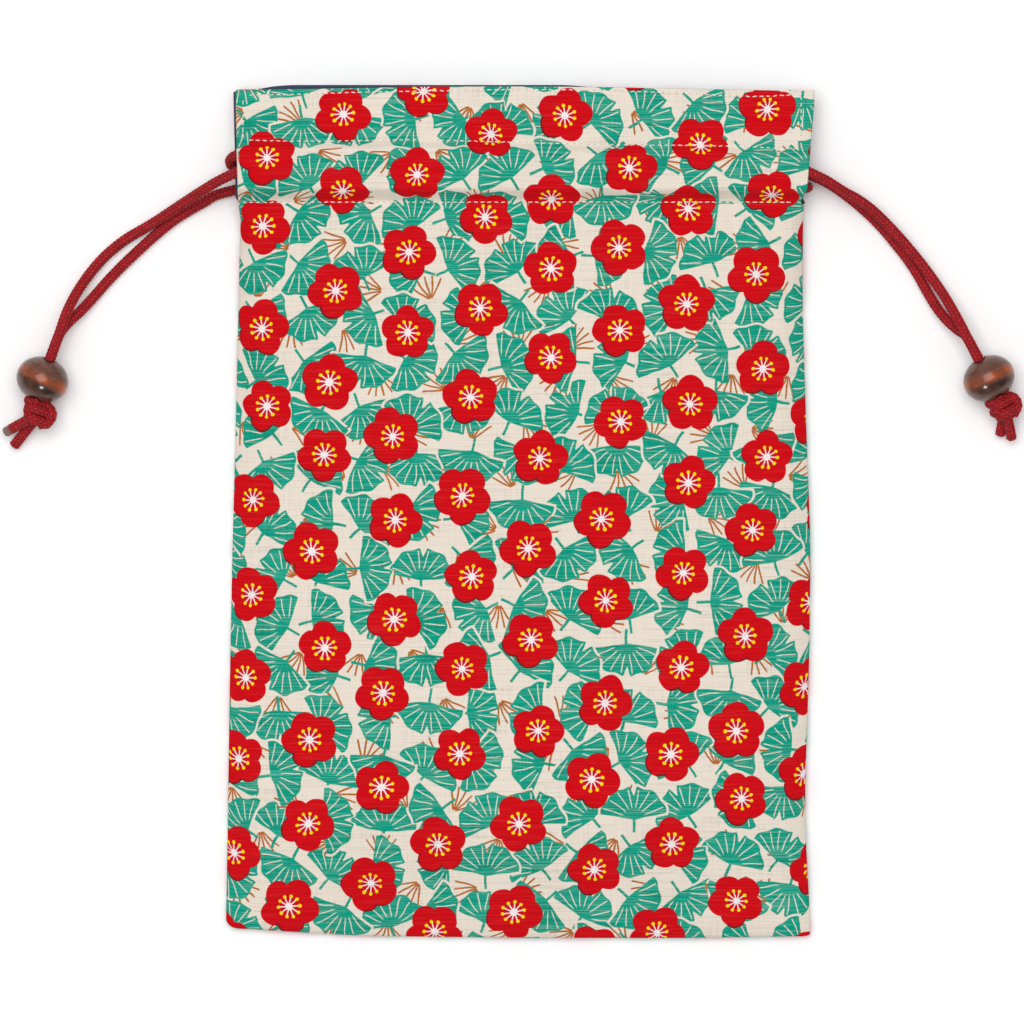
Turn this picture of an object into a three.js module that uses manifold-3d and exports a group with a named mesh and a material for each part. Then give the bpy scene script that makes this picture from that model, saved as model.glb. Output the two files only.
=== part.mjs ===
// A lined drawstring pouch for a book, lying on its back with its mouth towards +Y.
// Two braided cords run through the front and back channels, one pulled from each side.
// Each cord's two strands pass through a wooden bead and end in an overhand knot.
// Millimetres, +Z up, origin on the table under the middle of the pouch.
import * as THREE from "three";
import { mergeVertices } from "three/addons/utils/BufferGeometryUtils.js";
import loadManifold from "manifold-3d";

// Sewn pouch, laid flat
const POUCH_WIDTH = 170;
const POUCH_LENGTH = 250;
const NECK_WIDTH = 166;
const NECK_TAPER = 80;
const CORNER_RADIUS = 5;

// Mouth: a loose header above the channel that holds the cords
const HEADER_DEPTH = 17;
const CHANNEL_DEPTH = 17;
const HEM_WIDTH = 8;
const SLIT_RECESS = 3.5;
const CHANNEL_SEWN_EDGE = 1.2;
const MOUTH_GAP = 5;
const FRONT_CHANNEL_RISE = 4.2;
const FRONT_CHANNEL_FALL = 2.4;
const BACK_CHANNEL_RISE = 1.9;
const BACK_CHANNEL_FALL = 4.2;

// Cloth
const CLOTH_THICKNESS = 0.5;
const LINING_THICKNESS = 0.3;
const SEAM_WIDTH = 9;
const SEAM_THICKNESS = 0.8;
const CLEARANCE = 0.3;

// How the empty pouch swells above the table
const EDGE_HEIGHT = 5;
const CROWN_HEIGHT = 12;
const NECK_EDGE_HEIGHT = 8;
const BOTTOM_SWELL = 38;
const NECK_SWELL = 55;

// Cords. A lane is measured from the lower stitch row to the middle of the cord, and the right
// cord's turn from the upper row. Each cord drifts a little on its way through the channels,
// and its strands fall away from the exits by so many millimetres a millimetre.
const CORD_DIAMETER = 3.2;
const CORD_SIDES = 8;
const CORD_STEP = 7;
const LEFT_FRONT_EXIT_LANE = 7.3;
const LEFT_BACK_EXIT_LANE = 3.3;
const LEFT_CORD_TURN_LANE = 4.5;
const RIGHT_CORD_EXIT_LANE = 8.1;
const RIGHT_FRONT_TURN_DROP = 3.2;
const RIGHT_BACK_TURN_DROP = 7;
const CORD_EXIT = 0.5;
const STRAND_START = 1.3;
const CORD_LEAD = 0.9;
const LEFT_BACK_EXIT_FALL = 0.25;
const EXIT_FALL = 0.48;
const TURN_LEAD = 0.5;

// Beads and knots
const BEAD_DIAMETER = 15.4;
const BEAD_LENGTH = 11.2;
const BEAD_BORE = 7.8;
const BEAD_RIM = 0.7;
const BEAD_STRAIGHT = 9;
const BEAD_SEGMENTS = 28;
const STRAND_GAP = 0.3;
const KNOT_DROP = 0.9;
const KNOT_WRAP_RADIUS = 3.1;
const KNOT_WRAP_TURNS = 1.3;
const KNOT_WRAP_STEPS = 22;
const KNOT_HALF_LENGTH = 2.4;
const KNOT_STRAND_OFFSET = 1.5;
const TAIL_STANDOFF = 0.9;

// Heights and rows that follow from the sizes above
const HALF_GAP = CLEARANCE / 2;
const CORD_RADIUS = CORD_DIAMETER / 2;
const BOTTOM_EDGE = -POUCH_LENGTH / 2;
const TOP_EDGE = POUCH_LENGTH / 2;
const UPPER_ROW = TOP_EDGE - HEADER_DEPTH;
const LOWER_ROW = UPPER_ROW - CHANNEL_DEPTH;
const BODY_TOP = LOWER_ROW - HALF_GAP;
const BAND_BOTTOM = LOWER_ROW + HALF_GAP;
const SIDE = POUCH_WIDTH / 2;
const BAND_SIDE = SIDE - HEM_WIDTH - HALF_GAP;

const SEAM_BOTTOM = CLOTH_THICKNESS + CLEARANCE;
const BACK_LINING_BOTTOM = SEAM_BOTTOM + SEAM_THICKNESS + CLEARANCE;
const BACK_LINING_TOP = BACK_LINING_BOTTOM + LINING_THICKNESS;
const BACK_CORD_HEIGHT = CLOTH_THICKNESS + CLEARANCE + CORD_RADIUS;
const BACK_CHANNEL_TOP = BACK_CORD_HEIGHT + CORD_RADIUS + CLEARANCE + LINING_THICKNESS;
const BACK_HEADER_TOP = CLOTH_THICKNESS + CLEARANCE + LINING_THICKNESS;
const FRONT_LINING_BOTTOM = BACK_CHANNEL_TOP + MOUTH_GAP;
const FRONT_LINING_TOP = FRONT_LINING_BOTTOM + LINING_THICKNESS;
const FRONT_CORD_HEIGHT = FRONT_LINING_TOP + CLEARANCE + CORD_RADIUS;
const FRONT_CHANNEL_TOP = FRONT_CORD_HEIGHT + CORD_RADIUS + CLEARANCE + CLOTH_THICKNESS;
const FRONT_HEADER_TOP = FRONT_LINING_TOP + CLEARANCE + CLOTH_THICKNESS;

// Insets of the nested layers from the cloth's outer face
const LINING_INSET = CLOTH_THICKNESS + CLEARANCE;

const { lerp, smoothstep } = THREE.MathUtils;

// Materials
const cloth = new THREE.MeshStandardMaterial({ color: 0xcf2a34, roughness: 0.9, metalness: 0 });
const lining = new THREE.MeshStandardMaterial({ color: 0x2a3348, roughness: 0.9, metalness: 0 });
const braid = new THREE.MeshStandardMaterial({ color: 0x8f1a20, roughness: 0.75, metalness: 0 });
const wood = new THREE.MeshStandardMaterial({ color: 0x7d4526, roughness: 0.3, metalness: 0 });

const pouch = new THREE.Group();

function addPiece(name, geometry, material, parent = pouch) {
  const mesh = new THREE.Mesh(geometry, material);
  mesh.name = name;
  parent.add(mesh);
  return mesh;
}

// Solid joins and cuts
const wasm = await loadManifold();
wasm.setup();

function toSolid(geometry) {
  const bare = geometry.clone();
  bare.deleteAttribute("normal");
  bare.deleteAttribute("uv");
  const welded = mergeVertices(bare, 1e-4);
  const vertProperties = new Float32Array(welded.attributes.position.array);
  const triVerts = new Uint32Array(welded.index.array);
  return new wasm.Manifold(new wasm.Mesh({ numProp: 3, vertProperties, triVerts }));
}

function toGeometry(solid) {
  const mesh = solid.getMesh();
  const geometry = new THREE.BufferGeometry();
  geometry.setAttribute("position", new THREE.BufferAttribute(mesh.vertProperties, 3));
  geometry.setIndex(new THREE.BufferAttribute(mesh.triVerts, 1));
  geometry.computeVertexNormals();
  return geometry;
}

// The sewn outline: straight sides that draw in towards the neck, round bottom corners
function halfWidth(y) {
  return lerp(SIDE, NECK_WIDTH / 2, smoothstep(y, LOWER_ROW - NECK_TAPER, LOWER_ROW));
}

function insetHalfWidth(y, inset) {
  const radius = CORNER_RADIUS - inset;
  const rise = Math.min(y - (BOTTOM_EDGE + inset), radius);
  const corner = radius - Math.sqrt(radius * radius - (radius - rise) * (radius - rise));
  return halfWidth(y) - inset - corner;
}

// Stations along the pouch, close together where the bottom corners turn
function stations(inset, top) {
  const radius = CORNER_RADIUS - inset;
  const start = BOTTOM_EDGE + inset;
  const rows = [0, 0.15, 0.45, 1].map((part) => start + radius * part);
  const swellEnd = BOTTOM_EDGE + BOTTOM_SWELL;
  const swellSteps = 7;
  const bodySteps = 13;
  for (let step = 1; step <= swellSteps; step += 1) {
    rows.push(lerp(start + radius, swellEnd, step / swellSteps));
  }
  for (let step = 1; step <= bodySteps; step += 1) {
    rows.push(lerp(swellEnd, top, step / bodySteps));
  }
  return rows;
}

function outline(inset, top) {
  const rows = stations(inset, top);
  const right = rows.map((y) => new THREE.Vector2(insetHalfWidth(y, inset), y));
  const left = rows.map((y) => new THREE.Vector2(-insetHalfWidth(y, inset), y)).reverse();
  return new THREE.Shape([...right, ...left]);
}

// Height of the front cloth's outer face over the table
function frontHeight(x, y) {
  const fromBottom = smoothstep(y, BOTTOM_EDGE, BOTTOM_EDGE + BOTTOM_SWELL);
  const toNeck = smoothstep(y, LOWER_ROW - NECK_SWELL, LOWER_ROW);
  const crown = lerp(lerp(EDGE_HEIGHT, CROWN_HEIGHT, fromBottom), FRONT_HEADER_TOP, toNeck);
  const edge = lerp(EDGE_HEIGHT, NECK_EDGE_HEIGHT, toNeck);
  const across = Math.min(Math.abs(x) / halfWidth(y), 1);
  return lerp(crown, edge, across ** 4);
}

// A solid that fills the space under the swollen front, down to a flat floor
function swollenSolid(inset, drop, floor, top) {
  const columns = 20;
  const rows = stations(inset, top);
  const points = [];
  for (const y of rows) {
    for (let column = 0; column <= columns; column += 1) {
      const across = Math.sin((column / columns - 0.5) * Math.PI);
      const x = across * insetHalfWidth(y, inset);
      points.push([x, y, frontHeight(x, y) - drop], [x, y, floor]);
    }
  }
  const at = (row, column, under) => 2 * (row * (columns + 1) + column) + under;
  const faces = [];
  const quad = (a, b, c, d) => faces.push(a, b, c, a, c, d);
  const last = rows.length - 1;
  for (let row = 0; row < last; row += 1) {
    for (let column = 0; column < columns; column += 1) {
      quad(at(row, column, 0), at(row, column + 1, 0), at(row + 1, column + 1, 0), at(row + 1, column, 0));
      quad(at(row, column, 1), at(row + 1, column, 1), at(row + 1, column + 1, 1), at(row, column + 1, 1));
    }
    quad(at(row, 0, 1), at(row, 0, 0), at(row + 1, 0, 0), at(row + 1, 0, 1));
    quad(at(row, columns, 0), at(row, columns, 1), at(row + 1, columns, 1), at(row + 1, columns, 0));
  }
  for (let column = 0; column < columns; column += 1) {
    quad(at(0, column, 0), at(0, column, 1), at(0, column + 1, 1), at(0, column + 1, 0));
    quad(at(last, column, 1), at(last, column, 0), at(last, column + 1, 0), at(last, column + 1, 1));
  }
  const geometry = new THREE.BufferGeometry();
  geometry.setAttribute("position", new THREE.Float32BufferAttribute(points.flat(), 3));
  geometry.setIndex(faces);
  return toSolid(geometry);
}

// The front cloth and its lining are shells, open at the neck and standing on the back layers
function swollenShell(inset, thickness, floor) {
  const outside = swollenSolid(inset, inset, floor, BODY_TOP);
  const hollow = inset + thickness;
  const inside = swollenSolid(hollow, hollow, floor - HEM_WIDTH, BODY_TOP + HEM_WIDTH);
  return toGeometry(outside.subtract(inside));
}

function flatSheet(shape, thickness, bottom) {
  const geometry = new THREE.ExtrudeGeometry(shape, { depth: thickness, bevelEnabled: false, steps: 1 });
  geometry.translate(0, 0, bottom);
  return geometry;
}

addPiece("back_panel", flatSheet(outline(0, BODY_TOP), CLOTH_THICKNESS, 0), cloth);
addPiece("front_panel", swollenShell(0, CLOTH_THICKNESS, SEAM_BOTTOM), cloth);
addPiece(
  "back_lining",
  flatSheet(outline(LINING_INSET, BODY_TOP), LINING_THICKNESS, BACK_LINING_BOTTOM),
  lining,
);
addPiece("front_lining", swollenShell(LINING_INSET, LINING_THICKNESS, BACK_LINING_TOP + CLEARANCE), lining);

// Seam allowances, pressed flat between the cloth and the lining
function sideSeam(side) {
  const seamBottom = BOTTOM_EDGE + LINING_INSET + SEAM_WIDTH + CLEARANCE;
  const steps = 10;
  const outer = [];
  const inner = [];
  for (let step = 0; step <= steps; step += 1) {
    const y = lerp(seamBottom, BODY_TOP, step / steps);
    outer.push(new THREE.Vector2(side * (halfWidth(y) - LINING_INSET), y));
    inner.push(new THREE.Vector2(side * (halfWidth(y) - LINING_INSET - SEAM_WIDTH), y));
  }
  return flatSheet(new THREE.Shape([...outer, ...inner.reverse()]), SEAM_THICKNESS, SEAM_BOTTOM);
}

function bottomSeam() {
  const bottom = BOTTOM_EDGE + LINING_INSET;
  const half = SIDE - CORNER_RADIUS;
  const shape = new THREE.Shape();
  shape.moveTo(-half, bottom);
  shape.lineTo(half, bottom);
  shape.lineTo(half, bottom + SEAM_WIDTH);
  shape.lineTo(-half, bottom + SEAM_WIDTH);
  return flatSheet(shape, SEAM_THICKNESS, SEAM_BOTTOM);
}

addPiece("left_side_seam", sideSeam(-1), cloth);
addPiece("right_side_seam", sideSeam(1), cloth);
addPiece("bottom_seam", bottomSeam(), cloth);

// Mouth band: profiles across the channel and header, run along X
function bulge(y, rise, fall) {
  const up = smoothstep(y, BAND_BOTTOM, BAND_BOTTOM + rise);
  const down = smoothstep(y, UPPER_ROW - fall, UPPER_ROW);
  return up * (1 - down);
}

function frontClothTop(y) {
  return lerp(FRONT_HEADER_TOP, FRONT_CHANNEL_TOP, bulge(y, FRONT_CHANNEL_RISE, FRONT_CHANNEL_FALL));
}

function backLiningTop(y) {
  const foot = y < (BAND_BOTTOM + UPPER_ROW) / 2 ? BACK_LINING_TOP : BACK_HEADER_TOP;
  return lerp(foot, BACK_CHANNEL_TOP, bulge(y, BACK_CHANNEL_RISE, BACK_CHANNEL_FALL));
}

function profileRows(from, to) {
  const pitch = 0.85;
  const count = Math.ceil((to - from) / pitch);
  return Array.from({ length: count + 1 }, (_, step) => lerp(from, to, step / count));
}

// Shape between two height functions of y, over the channel and the flat header
function profile(lower, upper) {
  const rows = [...profileRows(BAND_BOTTOM, UPPER_ROW), TOP_EDGE];
  const under = rows.map((y) => new THREE.Vector2(y, lower(y)));
  const over = rows.map((y) => new THREE.Vector2(y, upper(y))).reverse();
  return new THREE.Shape([...under, ...over]);
}

function runAlongX(shape, from, to) {
  const geometry = new THREE.ExtrudeGeometry(shape, { depth: to - from, bevelEnabled: false, steps: 1 });
  const axes = new THREE.Matrix4().makeBasis(
    new THREE.Vector3(0, 1, 0),
    new THREE.Vector3(0, 0, 1),
    new THREE.Vector3(1, 0, 0),
  );
  geometry.applyMatrix4(axes);
  geometry.translate(from, 0, 0);
  return geometry;
}

const flat = (height) => () => height;
const below = (surface, depth) => (y) => surface(y) - depth;

function bandPiece(lower, upper) {
  return runAlongX(profile(lower, upper), -BAND_SIDE, BAND_SIDE);
}

addPiece("front_channel", bandPiece(below(frontClothTop, CLOTH_THICKNESS), frontClothTop), cloth);
addPiece("front_channel_lining", bandPiece(flat(FRONT_LINING_BOTTOM), flat(FRONT_LINING_TOP)), lining);
addPiece("back_channel", bandPiece(flat(0), flat(CLOTH_THICKNESS)), cloth);
addPiece("back_channel_lining", bandPiece(below(backLiningTop, LINING_THICKNESS), backLiningTop), lining);

// Side hems: cloth and lining turned in and sewn together, with a tunnel that the cords run through
function tunnelShape(lower, upper) {
  const rows = profileRows(BAND_BOTTOM + CHANNEL_SEWN_EDGE, UPPER_ROW - CHANNEL_SEWN_EDGE);
  const under = rows.map((y) => new THREE.Vector2(y, lower(y)));
  const over = rows.map((y) => new THREE.Vector2(y, upper(y))).reverse();
  return new THREE.Path([...under, ...over]);
}

function hem(side, lower, upper, tunnel, recessBottom, recessTop) {
  const ring = profile(lower, upper);
  ring.holes.push(tunnel);
  const from = side > 0 ? SIDE - HEM_WIDTH + HALF_GAP : -SIDE;
  const solid = toSolid(runAlongX(ring, from, from + HEM_WIDTH - HALF_GAP));
  const recessLength = CHANNEL_DEPTH - 2 * CHANNEL_SEWN_EDGE - CLEARANCE;
  const recess = new THREE.BoxGeometry(2 * SLIT_RECESS, recessLength, recessTop - recessBottom);
  recess.translate(side * SIDE, (LOWER_ROW + UPPER_ROW) / 2, (recessTop + recessBottom) / 2);
  return toGeometry(solid.subtract(toSolid(recess)));
}

function frontHem(side) {
  const tunnel = tunnelShape(flat(FRONT_LINING_TOP), below(frontClothTop, CLOTH_THICKNESS));
  const recessBottom = FRONT_LINING_BOTTOM - CLEARANCE;
  return hem(side, flat(FRONT_LINING_BOTTOM), frontClothTop, tunnel, recessBottom, FRONT_LINING_TOP + HALF_GAP);
}

function backHem(side) {
  const tunnel = tunnelShape(flat(CLOTH_THICKNESS), below(backLiningTop, LINING_THICKNESS));
  const recessTop = BACK_CHANNEL_TOP + CLEARANCE;
  return hem(side, flat(0), backLiningTop, tunnel, CLOTH_THICKNESS + HALF_GAP, recessTop);
}

for (const [name, side] of [["left", -1], ["right", 1]]) {
  addPiece(`front_${name}_hem`, frontHem(side), cloth);
  addPiece(`back_${name}_hem`, backHem(side), cloth);
}

// Cords
const cordSection = new THREE.Shape();
for (let corner = 0; corner < CORD_SIDES; corner += 1) {
  const angle = (corner / CORD_SIDES) * 2 * Math.PI;
  const move = corner === 0 ? "moveTo" : "lineTo";
  cordSection[move](CORD_RADIUS * Math.cos(angle), CORD_RADIUS * Math.sin(angle));
}

function cordAlong(curve, steps) {
  return new THREE.ExtrudeGeometry(cordSection, { extrudePath: curve, steps, bevelEnabled: false });
}

function smoothCord(points) {
  const curve = new THREE.CatmullRomCurve3(points, false, "centripetal");
  return cordAlong(curve, Math.max(2, Math.round(curve.getLength() / CORD_STEP)));
}

function straightCord(from, to) {
  return cordAlong(new THREE.LineCurve3(from, to), 1);
}

// A cord's two runs through the channels, and its turn round the far slit's edge.
// side is the side that the cord is pulled from.
const TURN_CENTRE = SIDE - SLIT_RECESS + TURN_LEAD;

function channelCord(name, side, exitLanes, turnLanes) {
  const nearEnd = side * (SIDE + CORD_EXIT);
  const farEnd = -side * (TURN_CENTRE - CLEARANCE);
  const heights = { front: FRONT_CORD_HEIGHT, back: BACK_CORD_HEIGHT };
  for (const [run, height] of Object.entries(heights)) {
    const from = new THREE.Vector3(nearEnd, LOWER_ROW + exitLanes[run], height);
    const to = new THREE.Vector3(farEnd, LOWER_ROW + turnLanes[run], height);
    addPiece(`${name}_cord_${run}_run`, straightCord(from, to), braid);
  }
  const front = new THREE.Vector3(0, LOWER_ROW + turnLanes.front, heights.front);
  const back = new THREE.Vector3(0, LOWER_ROW + turnLanes.back, heights.back);
  const middle = front.clone().add(back).multiplyScalar(0.5).setX(-side * TURN_CENTRE);
  const up = front.clone().sub(back).multiplyScalar(0.5);
  const turn = new THREE.Curve();
  turn.getPoint = (part, target = new THREE.Vector3()) => {
    const angle = part * Math.PI;
    const out = new THREE.Vector3(-side * up.length() * Math.sin(angle), 0, 0);
    return target.copy(middle).addScaledVector(up, Math.cos(angle)).add(out);
  };
  addPiece(`${name}_cord_turn`, cordAlong(turn, 8), braid);
}

const LEFT_EXIT_LANES = { front: LEFT_FRONT_EXIT_LANE, back: LEFT_BACK_EXIT_LANE };
const LEFT_TURN_LANES = { front: LEFT_CORD_TURN_LANE, back: LEFT_CORD_TURN_LANE };
const RIGHT_EXIT_LANES = { front: RIGHT_CORD_EXIT_LANE, back: RIGHT_CORD_EXIT_LANE };
const RIGHT_TURN_LANES = {
  front: CHANNEL_DEPTH - RIGHT_FRONT_TURN_DROP,
  back: CHANNEL_DEPTH - RIGHT_BACK_TURN_DROP,
};
channelCord("left", -1, LEFT_EXIT_LANES, LEFT_TURN_LANES);
channelCord("right", 1, RIGHT_EXIT_LANES, RIGHT_TURN_LANES);

// The free end of each cord, in a frame at the end of the lower stitch row:
// x out from the slit's edge (negative on the left), y towards the mouth, z over the table.
// Routes are chosen by hand. Each starts at its channel and is then led along the bead's axis.
const FREE_ENDS = [
  {
    name: "left",
    side: -1,
    bead: [-55.5, -52.1],
    axis: [0.35, 0.937],
    knot: [-56.7, -62.3],
    lanes: LEFT_EXIT_LANES,
    falls: { front: EXIT_FALL, back: LEFT_BACK_EXIT_FALL },
    frontRoute: [
      [-5, 5.4, 11.2],
      [-8, 3.6, 10],
      [-11, 1.8, 8.2],
      [-14.7, -0.5, 6],
      [-18.4, -2.9, 4.5],
      [-22.1, -5.3, 3.3],
      [-26.4, -7.8, 2.1],
      [-30.7, -10.3, 1.7],
      [-34.6, -13.2, 1.7],
      [-38.2, -16.5, 1.9],
      [-41.4, -20.3, 2.8],
      [-44.3, -24.5, 4.5],
      [-46.8, -29, 6.9],
      [-48.6, -33.2, 8.8],
    ],
    backRoute: [
      [-5, 2.2, 2.1],
      [-8.2, 0.3, 1.8],
      [-12.6, -2.2, 1.7],
      [-17.3, -5.2, 1.7],
      [-23.3, -10.1, 1.7],
      [-28, -14.4, 1.7],
      [-32.6, -18.8, 1.7],
      [-37, -23.4, 1.7],
      [-40.8, -27.8, 2.2],
      [-44.4, -31.8, 3.5],
      [-47.7, -35, 5.1],
    ],
    tails: [
      { bearing: 208, reach: 11.4, lift: 1.2, endHeight: 3.4 },
      { bearing: 231, reach: 12.2, lift: -1.9, endHeight: 1.8 },
    ],
  },
  {
    name: "right",
    side: 1,
    bead: [53, -51.8],
    axis: [-0.477, 0.879],
    knot: [57.7, -60.6],
    lanes: RIGHT_EXIT_LANES,
    falls: { front: EXIT_FALL, back: EXIT_FALL },
    frontRoute: [
      [5, 6.3, 11.3],
      [7.8, 4.6, 10.2],
      [10.6, 2.9, 8.8],
      [14.6, 0.8, 7.1],
      [18.9, -2.3, 5.9],
      [22.7, -5.9, 5.2],
      [26.5, -9.9, 4.8],
      [30.3, -14.3, 4.5],
      [34, -18.9, 4.2],
      [37.2, -23.3, 4.4],
      [40, -27.6, 5.6],
      [42.2, -31.5, 7.4],
      [44, -34.9, 8.9],
    ],
    backRoute: [
      [5, 6.3, 2.1],
      [7.6, 4.8, 1.8],
      [10.2, 3, 1.7],
      [13.2, 0.7, 1.7],
      [17.2, -2.7, 1.7],
      [21.2, -6.6, 1.7],
      [25.2, -11.3, 1.7],
      [29, -16.1, 1.7],
      [32.2, -20.9, 1.7],
      [35.2, -26.3, 1.9],
      [38.3, -31.4, 3],
      [41.3, -35.1, 4.6],
      [44.1, -37.6, 5.7],
    ],
    tails: [
      { bearing: 262, reach: 8.4, lift: -1.9, endHeight: 1.8 },
      { bearing: 284, reach: 9.5, lift: 1.2, endHeight: 3.4 },
    ],
  },
];

const STRAND_OFFSET = CORD_RADIUS + STRAND_GAP / 2;
const BEAD_RADIUS = BEAD_DIAMETER / 2;

// A round bead, flattened at the two ends of its bore
function beadGeometry() {
  const half = BEAD_LENGTH / 2;
  const bore = BEAD_BORE / 2;
  const endRadius = bore + BEAD_RIM;
  const endShare = endRadius / BEAD_RADIUS;
  const longRadius = half / Math.sqrt(1 - endShare * endShare);
  const endAngle = Math.acos(endShare);
  const profilePath = new THREE.Path();
  profilePath.moveTo(bore, half - BEAD_RIM);
  profilePath.lineTo(bore, BEAD_RIM - half);
  profilePath.lineTo(endRadius, -half);
  profilePath.absellipse(0, 0, BEAD_RADIUS, longRadius, -endAngle, endAngle, false);
  profilePath.lineTo(bore, half - BEAD_RIM);
  return new THREE.LatheGeometry(profilePath.getPoints(9), BEAD_SEGMENTS);
}

// Two strands through the middle, and the same two wrapped round them and tucked in
function knotGeometry() {
  const strands = [];
  for (const lift of [-KNOT_STRAND_OFFSET, KNOT_STRAND_OFFSET]) {
    const top = new THREE.Vector3(0, KNOT_HALF_LENGTH + CORD_RADIUS, lift);
    const bottom = new THREE.Vector3(0, -KNOT_HALF_LENGTH - CORD_RADIUS, lift);
    strands.push(straightCord(top, bottom));
    const wrap = new THREE.Curve();
    wrap.getPoint = (part, target = new THREE.Vector3()) => {
      const angle = Math.PI / 2 + part * KNOT_WRAP_TURNS * 2 * Math.PI;
      const tuck = smoothstep(Math.min(part, 1 - part), 0, 0.14);
      const radius = KNOT_WRAP_RADIUS * lerp(0.35, 1, tuck);
      const along = (0.5 - part) * KNOT_HALF_LENGTH + lift;
      return target.set(radius * Math.cos(angle), along, radius * Math.sin(angle));
    };
    strands.push(cordAlong(wrap, KNOT_WRAP_STEPS));
  }
  return toGeometry(strands.map(toSolid).reduce((whole, strand) => whole.add(strand)));
}

// A short cut end that leaves the knot's side and droops as it goes out
function tailGeometry(knotMiddle, tail) {
  const bearing = THREE.MathUtils.degToRad(tail.bearing);
  const out = new THREE.Vector3(Math.cos(bearing), Math.sin(bearing), 0);
  const start = KNOT_WRAP_RADIUS + CORD_RADIUS + TAIL_STANDOFF;
  const startHeight = knotMiddle.z + tail.lift;
  const at = (part, height) => {
    const reach = lerp(start, tail.reach, part);
    return knotMiddle.clone().addScaledVector(out, reach).setZ(height);
  };
  const middleHeight = lerp(startHeight, tail.endHeight, 0.4);
  return smoothCord([at(0, startHeight), at(0.5, middleHeight), at(1, tail.endHeight)]);
}

function freeEnd(end) {
  const group = new THREE.Group();
  group.position.set(end.side * SIDE, LOWER_ROW, 0);
  pouch.add(group);

  const axis = new THREE.Vector3(...end.axis, 0).normalize();
  const middle = new THREE.Vector3(...end.bead, BEAD_RADIUS);
  const onAxis = (along, lift) => middle.clone().addScaledVector(axis, along).setZ(BEAD_RADIUS + lift);
  const strands = [
    ["front", FRONT_CORD_HEIGHT, end.frontRoute, STRAND_OFFSET],
    ["back", BACK_CORD_HEIGHT, end.backRoute, -STRAND_OFFSET],
  ];
  for (const [run, height, route, lift] of strands) {
    const exit = new THREE.Vector3(end.side * STRAND_START, end.lanes[run], height);
    const heading = new THREE.Vector3(end.side, -end.falls[run], 0);
    const lead = exit.clone().addScaledVector(heading, CORD_LEAD);
    const led = [BEAD_LENGTH / 2 + BEAD_STRAIGHT, BEAD_LENGTH / 2, 0].map((along) => onAxis(along, lift));
    const last = onAxis(-BEAD_LENGTH / 2, lift - KNOT_DROP / 2);
    const points = [exit, lead, ...route.map((point) => new THREE.Vector3(...point)), ...led, last];
    addPiece(`${end.name}_${run}_strand`, smoothCord(points), braid, group);
  }

  const turn = -Math.asin(axis.x);
  const bead = addPiece(`${end.name}_bead`, beadGeometry(), wood, group);
  bead.position.copy(middle);
  bead.rotation.z = turn;

  const knot = addPiece(`${end.name}_knot`, knotGeometry(), braid, group);
  knot.position.set(...end.knot, BEAD_RADIUS - KNOT_DROP);
  knot.rotation.z = turn;

  end.tails.forEach((tail, index) => {
    addPiece(`${end.name}_tail_${index + 1}`, tailGeometry(knot.position, tail), braid, group);
  });
}

FREE_ENDS.forEach(freeEnd);

export default pouch;
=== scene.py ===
# %% [markdown]
# # A lined drawstring book pouch
# The pouch lies on its back, seen from straight above. Its solids come from CAD and
# are loaded here as a fixed frame that knows which body each node rides on. This
# lesson makes the soft, visible pieces around that frame: braided cords, printed
# cloth, lining, threads and two wooden beads. Lengths in the text are millimetres.

# %% Open the frame
import math

import bpy
import numpy as np
from mathutils import Matrix, Vector


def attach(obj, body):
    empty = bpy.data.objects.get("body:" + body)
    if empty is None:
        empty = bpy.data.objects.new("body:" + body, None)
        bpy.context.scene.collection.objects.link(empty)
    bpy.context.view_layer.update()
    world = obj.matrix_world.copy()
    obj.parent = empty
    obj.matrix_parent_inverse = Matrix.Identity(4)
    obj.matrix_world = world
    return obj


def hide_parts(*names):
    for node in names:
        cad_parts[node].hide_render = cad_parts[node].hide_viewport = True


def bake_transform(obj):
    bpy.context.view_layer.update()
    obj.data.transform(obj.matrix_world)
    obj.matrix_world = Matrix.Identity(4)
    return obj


MM = 0.001
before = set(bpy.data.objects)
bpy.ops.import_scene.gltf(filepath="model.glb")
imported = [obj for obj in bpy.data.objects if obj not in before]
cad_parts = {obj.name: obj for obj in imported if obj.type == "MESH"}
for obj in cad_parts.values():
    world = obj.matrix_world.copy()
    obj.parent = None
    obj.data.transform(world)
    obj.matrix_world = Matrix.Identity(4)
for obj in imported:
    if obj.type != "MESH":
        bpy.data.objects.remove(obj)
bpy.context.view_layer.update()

# %% [markdown]
# ## Camera
# A flat lay is shot from straight above. A long lens far away keeps the sides of the
# pouch from leaning, so the picture is almost a plan drawing. The lens length follows
# from the width that the square picture spans at the height of the cloth.

# %% Camera straight above
PICTURE_SPAN = 301.0
CLOTH_LEVEL = 10.0
CAMERA_PLACE = (-2.35, -0.07, 2500.0)
SENSOR = 36.0

scene = bpy.context.scene
camera_data = bpy.data.cameras.new("overhead_camera")
camera_data.sensor_width = SENSOR
camera_data.lens = SENSOR * (CAMERA_PLACE[2] - CLOTH_LEVEL) / PICTURE_SPAN
camera = bpy.data.objects.new("overhead_camera", camera_data)
camera.location = Vector(CAMERA_PLACE) * MM
scene.collection.objects.link(camera)
scene.camera = camera
print("lens, mm:", round(camera_data.lens, 1))

# %% [markdown]
# ## Mesh helpers
# Most pieces here are a grid of points: rows along a cord or a cloth, columns across
# it. One helper turns such a grid into faces, and another one makes the object and
# keeps notes on its points, which the materials read later.

# %% Grids, soft steps and the piece maker
SMOOTH_CORNERS = 4


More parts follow.
